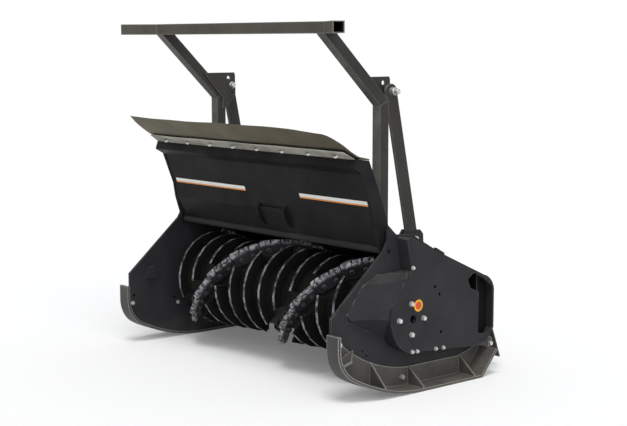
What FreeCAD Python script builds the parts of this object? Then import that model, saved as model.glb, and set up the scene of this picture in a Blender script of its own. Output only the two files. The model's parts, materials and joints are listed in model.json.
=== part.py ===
"""Forestry mulching head with a hydraulic front gate and a tree-pushing frame.

Millimetres, +Z up.  X runs along the rotor (+X is the belt-drive side), -Y is the
working front, and Z = 0 is the floor under the skid shoes.  Y = 0 is the rotor axis.
"""
import FreeCAD, Part
import math
import os

V = FreeCAD.Vector

# ---------------------------------------------------------------- driving dimensions
chamber_width = 2280.0        # clear width between the end plates
end_plate_t = 20.0
seat_gap = 0.3                # gap left at curved or soft seats
run_gap = 0.05                # radial running clearance of pins, shafts and rods

# rotor
tip_r = 380.0                 # cutting circle
tip_clearance = 115.0         # cutting circle above the floor
drum_r = 250.0
drum_wall = 25.0
drum_end_gap = 185.0          # end of drum to end plate
collar_r = 150.0              # fixed collars that cover the shaft's ends
collar_gap = 12.0             # end of collar to end of drum
shaft_r = 55.0
shaft_hole_gap = 6.0          # around the shaft in the end plates and collars
bite = 30.0                   # teeth stand this far above the ring just ahead of them
ring_fall = 28.0              # how much lower the ring ends behind the leading tooth
ring_t = 20.0
ring_flats = 8                # straight cuts that make up each ring segment's rim
ring_gullet_deg = 24.0        # open space in front of a tooth
station_count = 12
end_station = 75.0            # from the end of the drum to the first ring
teeth_per_station = 2
helix_start_deg = 144.3       # turn of the first station's teeth from straight up
helix_step_deg = -27.7        # turn from one station to the next
holder_w = 46.0               # thickness of the holder behind its tooth
holder_face = -14.0           # tooth seat, ahead of the radius through the tooth
holder_tail_deg = 30.0        # open space behind a tooth
holder_cap = 30.0             # top of the holder below the cutting circle
tooth_gap = 8.0               # between the ends of neighbouring teeth
tooth_root = 14.0             # foot of the tooth above the drum
tip_flat_deg = 12.0           # the teeth's edges and seats follow the circle in flats
notch_w = 12.0
notch_h = 20.0
notch_count = 2

# gate hinge, above the circle that the teeth cut
hinge_y = -100.0
hinge_rise = 57.0

# end plates
nose_z = 545.0                # top of the vertical front edge, where the slope starts
plate_ear_rise = 168.0        # ear behind the gate, above the hinge
plate_top_rise = 104.0
plate_rear_y = 900.0
plate_rear_top_z = 590.0
plate_rear_low_z = 232.0

# skid shoes
sole_t = 20.0
sole_out = 167.0              # how far the sole stands out from the end plate
sole_front_out = 88.0         # the same at the top of the nose
sole_flat_y0 = 60.0
sole_flat_y1 = 640.0
sole_r_long = 1190.0          # long sweep of the sole
sole_r_nose = 230.0           # tight sweep at the nose
sole_nose_reach = 242.0       # nose of the sole in front of the cutting circle
sole_nose_top_z = 446.0
sole_tail_y = 792.0
sole_tail_z = 172.0
web_t = 15.0
web_h = 122.0
web_end_y = 560.0             # where the top of the web starts to rise
web_sag = 66.0                # hollow of the web's top edge between the nose and the flat
shoe_ribs_y = (-280.0, 70.0, 565.0)
rib_t = 12.0
front_rib_deg = 203.0         # direction of the foremost rib from the nose's centre
front_rib_h = 168.0
wear_lug = (-415.0, 540.0)    # block on the inner face of each end plate
wear_lug_t = 25.0

# hood and chamber
liner_gap = 25.0              # from the cutting circle to the liner
liner_t = 12.0
liner_front_deg = 97.0
liner_rear_deg = -38.0
hood_t = 8.0
beam_y0 = -30.0
beam_y1 = 120.0
beam_rise = 44.0              # bottom of the beam above the cutting circle
beam_h = 66.0
beam_wall = 8.0
floor_pan_z = 222.0
floor_pan_t = 10.0
shear_bar_z = 198.0
shear_bar_w = 48.0

# hydraulic motor behind the chamber, on the belt-drive end plate
motor_len = 350.0
motor_size = 240.0
motor_y = 655.0
motor_z = 440.0

# belt-drive housing on the +X side
housing_depth = 105.0
housing_wall = 12.0
cover_t = 10.0
nose_circle_y = 66.0
nose_circle_z = 492.0
nose_circle_r = 244.0
housing_top_y = -30.0
housing_top_rise = 108.0      # top corner above the gate hinge
housing_corner = 28.0         # cut off the top front corner
throat_y = 8.0                # inner corner of the housing's front edge
throat_z = 800.0
guard_gap = 0.5
guard_foot = ((-201.0, 791.0), (-338.0, 726.0), (-471.0, 555.0), (-435.0, 497.0), (-133.0, 353.0))
guard_slopes = (0.88, 0.42, None, 0.90)      # rise of the guard inwards from each edge of its foot
recess_depth = 45.0
recess_t = 6.0
lifting_lug = (300.0, 388.0)
lifting_lug_h = 32.0
housing_rear_y = 815.0
housing_rear_top_z = 655.0
housing_bottom_z = 215.0
cover_rear_y = 645.0

# gate
gate_side_gap = 22.0
gate_flange_t = 18.0
gate_plate_t = 10.0
gate_pipe_r = 25.0
gate_pin_r = 15.0
gate_knees = ((-12.0, 25.4), (-90.0, 178.0), (-108.0, 283.0), (-192.0, 508.0))   # panel, from the hinge
rail_corner = (-245.0, 613.0)                # front top corner of the top rail, from the hinge
bracket_half = 155.0
bracket_rib_t = 18.0
bracket_depth = 46.0

# deflector sheet
sheet_t = 10.0
sheet_len = 318.0
sheet_lean_deg = 27.0         # rise of the sheet where it is clamped
sheet_curl_deg = 15.0         # how much further its free edge has curled up
sheet_corner_r = 60.0        # worn corner on the belt-drive side
clamp_h = 42.0
clamp_t = 12.0

# gate cylinder
cyl_x = 80.0
lug_radius = 180.0
lug_deg = 55.0
cyl_base_y = 520.0
cyl_base_rise = 178.0         # base pin above the gate hinge
barrel_r = 45.0
rod_r = 22.0
eye_r = 36.0
eye_w = 50.0
cyl_pin_r = 20.0
ear_t = 15.0
ear_side_gap = 3.0
barrel_len = 420.0
barrel_start = 74.0

# pushing frame, square tube
tube = 76.0
tube_wall = 6.0
frame_half = 897.0            # centre of each upright
upright_y = 70.0              # centre of each upright
foot_t = 12.0
upright_len = 872.0           # foot plate to the front corner of the elbow
arm_rise = 473.0              # elbow to the underside of the crossbar
bar_front_y = -466.0
wing_len = 310.0
wing_sweep_deg = 31.0
bracket_t = 12.0
brace_t = 20.0
brace_w = 100.0
brace_pin_r = 16.0
pin_back = 90.0               # upper brace pin behind the upright's centre
pin_rise = 92.0               # and above the elbow
spare_hole = (-30.0, 56.0)    # the other holes of the brackets, from the pin's
lower_hole = (5.0, -57.0)
lug_pin_y = 372.0
lug_pin_h = 91.5              # lower brace pin above the hood
lug_t = 15.0

# rear
mount_half = 360.0
mount_gap = 90.0
mount_t = 25.0
mount_bore_r = 25.0
mount_low = (985.0, 415.0)
mount_high = (955.0, 700.0)
rear_reach_y = 1047.0         # rounded end of the mounting plates
curtain_t = 10.0

PLATE_IN = chamber_width / 2
rotor_axis_z = tip_r + tip_clearance
ring_high_r = tip_r - bite
PLATE_OUT = PLATE_IN + end_plate_t
crown_z = rotor_axis_z + tip_r
hinge_z = crown_z + hinge_rise
plate_top_z = hinge_z + plate_top_rise
sole_nose_y = -(tip_r + sole_nose_reach)
liner_r = tip_r + liner_gap
beam_z0 = crown_z + beam_rise
beam_z1 = beam_z0 + beam_h
gate_half = PLATE_IN - gate_side_gap
elbow_z = beam_z1 + foot_t + upright_len
bar_bottom_z = elbow_z + arm_rise
bracket_pin = (upright_y + pin_back, elbow_z + pin_rise)
cyl_base_z = hinge_z + cyl_base_rise
MIDDLE_Y = (sole_nose_y + rear_reach_y) / 2      # goes to the origin on export
PARTS = {}


# ---------------------------------------------------------------- helpers
def path(points):
    """Closed wire in the Y-Z plane; an item ("arc", mid, end) makes an arc."""
    edges = []
    start = last = points[0]
    for item in points[1:] + [start]:
        if item[0] == "arc":
            mid, end = item[1], item[2]
            edges.append(Part.Arc(V(0, *last), V(0, *mid), V(0, *end)).toShape())
            last = end
        elif math.dist(last, item) > 1e-6:
            edges.append(Part.makeLine(V(0, *last), V(0, *item)))
            last = item
    return Part.Wire(edges)


def slab(points, x0, x1):
    """Profile in the Y-Z plane, extruded from x0 to x1."""
    face = Part.Face(path(points))
    solid = face.extrude(V(x1 - x0, 0, 0))
    solid.translate(V(x0, 0, 0))
    return solid


def block(x0, x1, y0, y1, z0, z1):
    return Part.makeBox(x1 - x0, y1 - y0, z1 - z0, V(x0, y0, z0))


def rod_x(x0, x1, y, z, r):
    return Part.makeCylinder(r, x1 - x0, V(x0, y, z), V(1, 0, 0))


def facet_rod(x0, x1, y, z, r, sides=16):
    """Bar or hole along X with flats, for round details too small to need a true circle."""
    return slab([polar(y, z, r, 360.0 * k / sides) for k in range(sides)], x0, x1)


def polar(cy, cz, r, deg):
    a = math.radians(deg)
    return (cy + r * math.cos(a), cz + r * math.sin(a))


def arc_to(cy, cz, r, a0, a1):
    """Arc item from angle a0 to a1; the path must already stand at a0."""
    return ("arc", polar(cy, cz, r, (a0 + a1) / 2), polar(cy, cz, r, a1))


def circle_through(a, b, c):
    """Centre and radius of the circle through three points."""
    (ax, ay), (bx, by), (cx, cy) = a, b, c
    d = 2 * (ax * (by - cy) + bx * (cy - ay) + cx * (ay - by))
    sa, sb, sc = ax * ax + ay * ay, bx * bx + by * by, cx * cx + cy * cy
    x = (sa * (by - cy) + sb * (cy - ay) + sc * (ay - by)) / d
    y = (sa * (cx - bx) + sb * (ax - cx) + sc * (bx - ax)) / d
    return (x, y), math.dist((x, y), a)


def mirrored(shape):
    return shape.mirror(V(0, 0, 0), V(1, 0, 0))


def both_sides(shape):
    return Part.makeCompound([shape, mirrored(shape)])


def keep(name, *shapes):
    PARTS[name] = shapes[0] if len(shapes) == 1 else Part.makeCompound(list(shapes))


# ---------------------------------------------------------------- skid shoes and end plates
def nose_centre():
    """Centre of the tight sweep at the nose of the sole."""
    turn = math.asin((sole_flat_y0 - sole_nose_y - sole_r_nose) / (sole_r_long - sole_r_nose))
    return polar(sole_flat_y0, sole_r_long, sole_r_long - sole_r_nose, 270 - math.degrees(turn))


def web_top():
    """Start, middle and end of the hollow top edge of the web, from the nose to the flat."""
    a = (sole_nose_y + sole_t, sole_nose_top_z - 6)
    b = (sole_flat_y0, sole_t + web_h)
    length = math.dist(a, b)
    drop = (-(a[1] - b[1]) / length * web_sag, -(b[0] - a[0]) / length * web_sag)
    return a, ((a[0] + b[0]) / 2 + drop[0], (a[1] + b[1]) / 2 + drop[1]), b


def sole_curve(rise):
    """Outline of the sole from the nose top to the tail tip, 'rise' above its wearing face."""
    nose_r = sole_r_nose - rise
    long_r = sole_r_long - rise
    turn = math.degrees(math.asin(
        (sole_flat_y0 - sole_nose_y - sole_r_nose) / (sole_r_long - sole_r_nose)))
    long_c = (sole_flat_y0, sole_r_long)
    joint = nose_centre()
    lean = math.atan2(sole_tail_z, sole_tail_y - sole_flat_y1)
    return [
        (sole_nose_y + rise, sole_nose_top_z),
        (sole_nose_y + rise, joint[1]),
        arc_to(*joint, nose_r, 180, 270 - turn),
        arc_to(*long_c, long_r, 270 - turn, 270),
        (sole_flat_y1 - rise * math.tan(lean / 2), rise),
        (sole_tail_y - rise * math.sin(lean), sole_tail_z + rise * math.cos(lean)),
    ]


def backwards(items):
    """The same open path, walked from its far end."""
    points = [item[2] if item[0] == "arc" else item for item in items]
    out = [points[-1]]
    for index in range(len(items) - 1, 0, -1):
        item = items[index]
        out.append(("arc", item[1], points[index - 1]) if item[0] == "arc" else points[index - 1])
    return out


def below_sole(rise, x0, x1):
    """Everything in front of and below the sole's inner face."""
    low = -400.0
    line = sole_curve(rise)
    line[0] = (line[0][0], plate_top_z * 2)
    tail_end = (sole_tail_y + 1.0, sole_tail_z)
    return slab(line + [tail_end, (tail_end[0], low), (sole_nose_y + low, low),
                        (sole_nose_y + low, plate_top_z * 2)], x0, x1)


def end_plate():
    outline = [
        (sole_nose_y + sole_t + seat_gap, 0.0),
        (sole_nose_y + sole_t + seat_gap, nose_z),
        (hinge_y - 46, hinge_z + 5),
        (hinge_y - 12, hinge_z + 60),
        (hinge_y - 2, hinge_z + plate_ear_rise),
        (hinge_y + 68, plate_top_z),
        (beam_y1, plate_top_z - 16),
        (plate_rear_y, plate_rear_top_z),
        (plate_rear_y, plate_rear_low_z),
        (plate_rear_y - 35, 152.0),
        (sole_tail_y + 2, 152.0),
        (sole_flat_y1, 0.0),
    ]
    plate = slab(outline, PLATE_IN, PLATE_OUT)
    plate = plate.cut(below_sole(sole_t + seat_gap, PLATE_IN - 1, PLATE_OUT + 1))
    shaft_hole = rod_x(PLATE_IN - 1, PLATE_OUT + 1, 0, rotor_axis_z, shaft_r + shaft_hole_gap)
    pin_hole = rod_x(PLATE_IN - 1, PLATE_OUT + 1, hinge_y, hinge_z, gate_pin_r)
    y, z = wear_lug
    lug = slab([(y - 43, z - 40), (y + 40, z - 50), (y + 40, z + 44), (y + 28, z + 50), (y - 20, z + 36)],
               PLATE_IN - wear_lug_t, PLATE_IN)
    return plate.cut(shaft_hole).cut(pin_hole).fuse(lug).removeSplitter()


def skid_shoe():
    x_out = PLATE_OUT + sole_out
    sole = slab(sole_curve(0) + backwards(sole_curve(sole_t)), PLATE_IN, x_out)
    # web against the end plate, following the sole and rising to its tail
    nose_end, hollow, flat = web_top()
    outline = [
        nose_end, ("arc", hollow, flat), (web_end_y, sole_t + web_h), (plate_rear_y - 28, plate_rear_low_z),
        (plate_rear_y, plate_rear_low_z - 12), (plate_rear_y, 190.0), (plate_rear_y - 35, 152.0),
        (sole_tail_y + 1, 152.0), (sole_flat_y1, 0.0), (sole_nose_y, 0.0), (sole_nose_y, nose_end[1])]
    web = slab(outline, PLATE_OUT, PLATE_OUT + web_t)
    web = web.cut(below_sole(sole_t, PLATE_OUT - 1, PLATE_OUT + web_t + 1))

    def gusset(height):
        """Triangle from the top of the web to the outer edge of the sole, standing on Z = 0."""
        face = Part.Face(Part.makePolygon([
            V(PLATE_OUT + web_t, 0, -sole_t / 2), V(x_out - 8, 0, -sole_t / 2), V(x_out - 8, 0, 10),
            V(PLATE_OUT + web_t, 0, height), V(PLATE_OUT + web_t, 0, -sole_t / 2)]))
        return face.extrude(V(0, rib_t, 0))

    (hollow_y, hollow_z), hollow_r = circle_through(nose_end, hollow, flat)
    ribs = []
    for y in shoe_ribs_y:
        lift = sole_r_long - math.sqrt(sole_r_long ** 2 - max(0.0, sole_flat_y0 - y) ** 2)
        edge = sole_t + web_h
        if y < sole_flat_y0:
            edge = hollow_z - math.sqrt(hollow_r ** 2 - (y - hollow_y) ** 2)
        rib = gusset(edge - lift - sole_t)
        rib.translate(V(0, y, lift + sole_t))
        ribs.append(rib)
    front = gusset(front_rib_h)
    front.rotate(V(0, 0, 0), V(1, 0, 0), front_rib_deg - 270)
    foot = polar(*nose_centre(), sole_r_nose - sole_t, front_rib_deg)
    front.translate(V(0, *foot))
    ribs.append(front)
    shoe = sole.fuse([web] + ribs)
    # the sole narrows towards the top of the nose
    x_nose = PLATE_OUT + sole_front_out
    waste = Part.Face(Part.makePolygon([
        V(x_nose, sole_nose_y - 5, -1), V(x_out + 5, sole_nose_y - 5, -1), V(x_out + 5, -300, -1),
        V(x_out, -300, -1), V(x_nose, sole_nose_y - 5, -1)])).extrude(V(0, 0, 600))
    # nothing stands below or in front of the wearing face
    return shoe.cut(waste).cut(below_sole(0, PLATE_IN - 1, x_out + 10)).removeSplitter()


# ---------------------------------------------------------------- rotor
def station_pitch():
    return (2 * (PLATE_IN - drum_end_gap) - 2 * end_station) / (station_count - 1)


def rotor_parts():
    x_end = PLATE_IN - drum_end_gap
    drum = rod_x(-x_end, x_end, 0, rotor_axis_z, drum_r).cut(
        facet_rod(-x_end + drum_wall, x_end - drum_wall, 0, rotor_axis_z, drum_r - drum_wall, 18))
    drum = drum.cut(rod_x(-x_end - 1, x_end + 1, 0, rotor_axis_z, shaft_r + seat_gap))
    shaft = rod_x(-PLATE_OUT - 30, PLATE_OUT + 30, 0, rotor_axis_z, shaft_r)
    collar = facet_rod(x_end + collar_gap, PLATE_IN, 0, rotor_axis_z, collar_r, 24).cut(
        rod_x(x_end, PLATE_IN + 1, 0, rotor_axis_z, shaft_r + shaft_hole_gap))
    keep("rotor_end_collars", both_sides(collar))
    pitch = station_pitch()
    span = pitch * (station_count - 1)
    sector = 360.0 / teeth_per_station
    rings, holders, teeth = [], [], []
    base_r = drum_r + seat_gap

    def rim(r, a0, a1, rise=0.0):
        """Flats from angle a0 to a1 whose corners lie at radius r, growing by 'rise' on the way."""
        steps = [k / ring_flats for k in range(ring_flats + 1)]
        return [polar(0, 0, r + rise * t, a0 + (a1 - a0) * t) for t in steps]

    def ring_segment(x):
        """Low behind the leading tooth, rising towards the next one to limit its bite."""
        a0, a1 = 90 + ring_gullet_deg, 90 + sector - holder_tail_deg
        seat_r = base_r / math.cos(math.radians((a1 - a0) / ring_flats / 2))
        outline = rim(ring_high_r, a0, a1, -ring_fall) + rim(seat_r, a1, a0)
        return slab(outline, x - ring_t / 2, x + ring_t / 2)

    # each tooth runs along the helix, so that together they make two broken screw threads
    mean_r = (drum_r + tip_r) / 2
    skew = math.atan2(mean_r * math.radians(-helix_step_deg), pitch)
    length = pitch / math.cos(skew)
    half = 3.5 * tip_flat_deg
    zone = slab([polar(0, 0, tip_r, 90 - half + tip_flat_deg * k) for k in range(8)] +
                [polar(0, 0, base_r / math.cos(math.radians(tip_flat_deg / 2)), 90 + half - tip_flat_deg * k)
                 for k in range(8)], -pitch, pitch)

    def beyond(side):
        """Everything past the plane halfway to the next tooth of the thread."""
        rest = block(-tooth_gap / 2, length, -tip_r, tip_r, 0, 2 * tip_r)
        rest.rotate(V(0, 0, 0), V(0, 0, 1), math.degrees(skew) + (0 if side > 0 else 180))
        rest.translate(V(side * pitch / 2, 0, 0))
        rest.rotate(V(0, 0, 0), V(1, 0, 0), side * helix_step_deg / 2)
        return rest

    def along_helix(outline, cuts=()):
        bar = slab(outline, -length, length)
        for cut in cuts:
            bar = bar.cut(cut)
        bar.rotate(V(0, 0, 0), V(0, 0, 1), math.degrees(skew))
        return bar.cut(beyond(-1)).cut(beyond(1)).common(zone)

    def holder():
        """Wedge that backs the tooth and falls away behind it."""
        cap = tip_r - holder_cap
        return along_helix([
            (holder_face, drum_r * 0.8), (holder_face, cap), (holder_face + 14, cap + 2),
            (holder_face + holder_w * 0.8, drum_r + 40), (holder_face + holder_w * 1.5, drum_r + 8),
            (holder_face + holder_w * 1.5, drum_r * 0.8)])

    def tooth():
        """Long forged tooth with a notched edge, bolted against the holder."""
        back = holder_face - seat_gap
        root = drum_r + tooth_root
        outline = [
            (back, root), (back, tip_r - holder_cap + 4), (back + 10, tip_r - 8), (back + 4, tip_r + 20),
            (back - 12, tip_r + 20), (back - 22, tip_r - 46), (back - 20, root),
        ]
        notches = []
        for k in range(notch_count):
            x = length * ((k + 1) / (notch_count + 1) - 0.5)
            notches.append(block(x - notch_w / 2, x + notch_w / 2, back - 60, back + 60, tip_r - notch_h, tip_r + 60))
        return along_helix(outline, notches)

    seat_bar, cutter_bar = holder(), tooth()
    for station in range(station_count):
        x = -span / 2 + pitch * station
        seat, cutter = seat_bar.copy(), cutter_bar.copy()
        seat.translate(V(x, 0, 0))
        cutter.translate(V(x, 0, 0))
        ring = ring_segment(x)
        for number in range(teeth_per_station):
            turn = helix_start_deg + station * helix_step_deg + number * sector
            for shape, group in ((ring, rings), (seat, holders), (cutter, teeth)):
                piece = shape.copy()
                piece.rotate(V(0, 0, 0), V(1, 0, 0), turn)
                piece.translate(V(0, 0, rotor_axis_z))
                group.append(piece)
    keep("rotor_drum", drum)
    keep("rotor_shaft", shaft)
    keep("limiter_rings", *rings)
    keep("tooth_holders", *holders)
    keep("cutter_teeth", *teeth)


def bearing_housings():
    """Bearing at each end of the shaft, bolted to the outside of the end plate."""
    def drilled(body):
        return body.cut(rod_x(PLATE_OUT - 1, PLATE_OUT + 200, 0, rotor_axis_z, shaft_r + run_gap))

    flange = facet_rod(PLATE_OUT, PLATE_OUT + 42, 0, rotor_axis_z, 170.0, 12)
    hub = facet_rod(PLATE_OUT, PLATE_OUT + 78, 0, rotor_axis_z, 110.0, 24)
    keep("bearing_housings", mirrored(drilled(flange.fuse(hub))), drilled(hub))


# ---------------------------------------------------------------- hood
def hood_line(y):
    slope = (plate_rear_top_z - 12 - beam_z1) / (plate_rear_y - beam_y1)
    return beam_z1 + slope * (y - beam_y1)


def hood():
    beam = block(-PLATE_IN, PLATE_IN, beam_y0, beam_y1, beam_z0, beam_z1).cut(
        block(-PLATE_IN, PLATE_IN, beam_y0 + beam_wall, beam_y1 - beam_wall,
              beam_z0 + beam_wall, beam_z1 - beam_wall))
    keep("hinge_beam", beam)
    rear_top = plate_rear_top_z - 12
    skin = [
        (beam_y1, beam_z1), (plate_rear_y, rear_top),
        (plate_rear_y, rear_top - hood_t), (beam_y1, beam_z1 - hood_t),
    ]
    keep("hood_top_skin", slab(skin, -PLATE_IN, PLATE_IN))
    keep("rear_wall", block(-PLATE_IN, PLATE_IN, plate_rear_y - 10, plate_rear_y,
                            floor_pan_z + floor_pan_t, rear_top - hood_t))
    a0, a1 = liner_front_deg, liner_rear_deg
    inner, outer = liner_r, liner_r + liner_t
    c = (0.0, rotor_axis_z)
    liner = [
        polar(*c, inner, a0), arc_to(*c, inner, a0, a1), polar(*c, outer, a1), arc_to(*c, outer, a1, a0),
    ]
    keep("chamber_liner", slab(liner, -PLATE_IN, PLATE_IN))
    edge = polar(*c, outer, a1)
    # shear bar under the rear edge of the liner, with comb teeth towards the rotor
    bar_y = edge[0] - 4
    bar = block(-PLATE_IN, PLATE_IN, bar_y, bar_y + shear_bar_w, shear_bar_z, edge[1] - seat_gap)
    keep("floor_pan", block(-PLATE_IN, PLATE_IN, bar_y + shear_bar_w, plate_rear_y,
                            floor_pan_z, floor_pan_z + floor_pan_t))
    combs = []
    pitch = station_pitch()
    for index in range(station_count - 1):
        x = -(station_count - 2) / 2 * pitch + index * pitch
        combs.append(block(x - 30, x + 30, bar_y - 20, bar_y, shear_bar_z, shear_bar_z + 18))
    keep("shear_bar", bar.fuse(combs).removeSplitter())
    keep("drive_motor", block(PLATE_IN - motor_len, PLATE_IN, motor_y - motor_size / 2,
                              motor_y + motor_size / 2, motor_z - motor_size / 2, motor_z + motor_size / 2))


# ---------------------------------------------------------------- belt housing
def housing_outline(inset):
    c = (nose_circle_y, nose_circle_z)
    r = nose_circle_r - inset
    rear = housing_rear_y - inset
    low = housing_bottom_z + inset
    throat = (throat_y + inset, throat_z)
    start = polar(*c, r, 147)
    top = hinge_z + housing_top_rise - inset
    return [
        (housing_top_y + inset, top - housing_corner),
        (housing_top_y + inset + housing_corner, top - housing_corner * 0.6),
        (housing_rear_y - 100 - inset * 0.4, 700.0 - inset * 1.1),
        ("arc", (housing_rear_y - 30 - inset, housing_rear_top_z + 2 - inset), (rear, housing_rear_top_z - 60)),
        (rear, 320.0),
        (housing_rear_y - 70 - inset * 0.5, 232.0 + inset),
        (620.0, low),
        polar(*c, r, -80),
        ("arc", polar(*c, r, -160), start),
        throat,
    ]


def belt_housing():
    x0, x1 = PLATE_OUT, PLATE_OUT + housing_depth
    outer = slab(housing_outline(0), x0, x1 - cover_t)
    inner = slab(housing_outline(housing_wall), x0 - 1, x1)
    ring = outer.cut(inner)
    # folded plate that closes the drive off and floors the open recess behind it
    behind = block(x0 - 1, x1, cover_rear_y, housing_rear_y, 0.0, hinge_z)
    fold = block(x0, x1 - cover_t, cover_rear_y, cover_rear_y + recess_t, 0.0, hinge_z)
    tray_x = x1 - cover_t - recess_depth
    fit = slab(housing_outline(housing_wall + seat_gap), x0 - 1, x1)
    tray = block(tray_x - recess_t, tray_x, cover_rear_y, housing_rear_y, 0.0, hinge_z)
    divider = fold.fuse(tray).common(behind).common(fit).removeSplitter()
    y0, y1 = lifting_lug
    slope = (700.0 - (hinge_z + housing_top_rise)) / (housing_rear_y - 100 - housing_top_y)
    roof = hinge_z + housing_top_rise + slope * (y0 - housing_top_y)
    lug = slab([(y0, roof - 30), (y0, roof + lifting_lug_h), (y1 - 12, roof + (y1 - y0) * slope + lifting_lug_h),
                (y1, roof + (y1 - y0) * slope - 30)], x0 + 20, x0 + 45)
    ring = ring.fuse(lug.cut(inner)).removeSplitter()
    keep("belt_housing_rim", ring)
    keep("belt_housing_divider", divider)
    cover = slab(housing_outline(0), x1 - cover_t, x1)
    window = slab([
        (cover_rear_y + 12, 300.0), (cover_rear_y + 12, 590.0), (579.0, 622.0), (547.0, 686.0),
        (608.0, 728.0), (730.0, 664.0), (790.0, 616.0), (800.0, 560.0), (800.0, 330.0), (745.0, 285.0)],
        x1 - cover_t - 1, x1 + 1)
    cover = cover.cut(window)
    hub_hole = facet_rod(x1 - cover_t - 1, x1 + 1, 24.0, rotor_axis_z - 15, 19.0)
    cover = cover.cut(hub_hole)
    keep("belt_housing_cover", cover)
    keep("housing_front_guard", front_guard())


def front_guard():
    """Sloping guard from the end plate to the edge of the housing, cut by one plane for each edge."""
    foot = list(guard_foot)
    x1 = PLATE_OUT + housing_depth - cover_t
    guard = slab([(throat_y, foot[0][1])] + foot + [(nose_circle_y, nose_circle_z)], PLATE_OUT, x1)
    size = 2000.0
    for (a, b, slope) in zip(foot, foot[1:], guard_slopes):
        if slope is None:
            continue
        length = math.dist(a, b)
        inward = ((a[1] - b[1]) / length, (b[0] - a[0]) / length)
        above = Part.makeBox(2 * size, 2 * size, size, V(-size, -size, 0))
        tilt = FreeCAD.Rotation(V(0, 0, 1), V(1, -slope * inward[0], -slope * inward[1]))
        above.Placement = FreeCAD.Placement(V(PLATE_OUT, *a), tilt).multiply(above.Placement)
        guard = guard.cut(above)
    return guard.cut(slab(housing_outline(-guard_gap), PLATE_OUT - 1, x1 + 1))


# ---------------------------------------------------------------- gate
GATE_FRONT = [(hinge_y + y, hinge_z + z) for y, z in gate_knees]


def gate_back(z):
    """Y of the rear face of the gate panel at height z."""
    for (y0, z0), (y1, z1) in zip(GATE_FRONT, GATE_FRONT[1:]):
        if z <= z1 or z1 == GATE_FRONT[-1][1]:
            return y0 + (y1 - y0) * (z - z0) / (z1 - z0) + gate_plate_t


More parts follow.
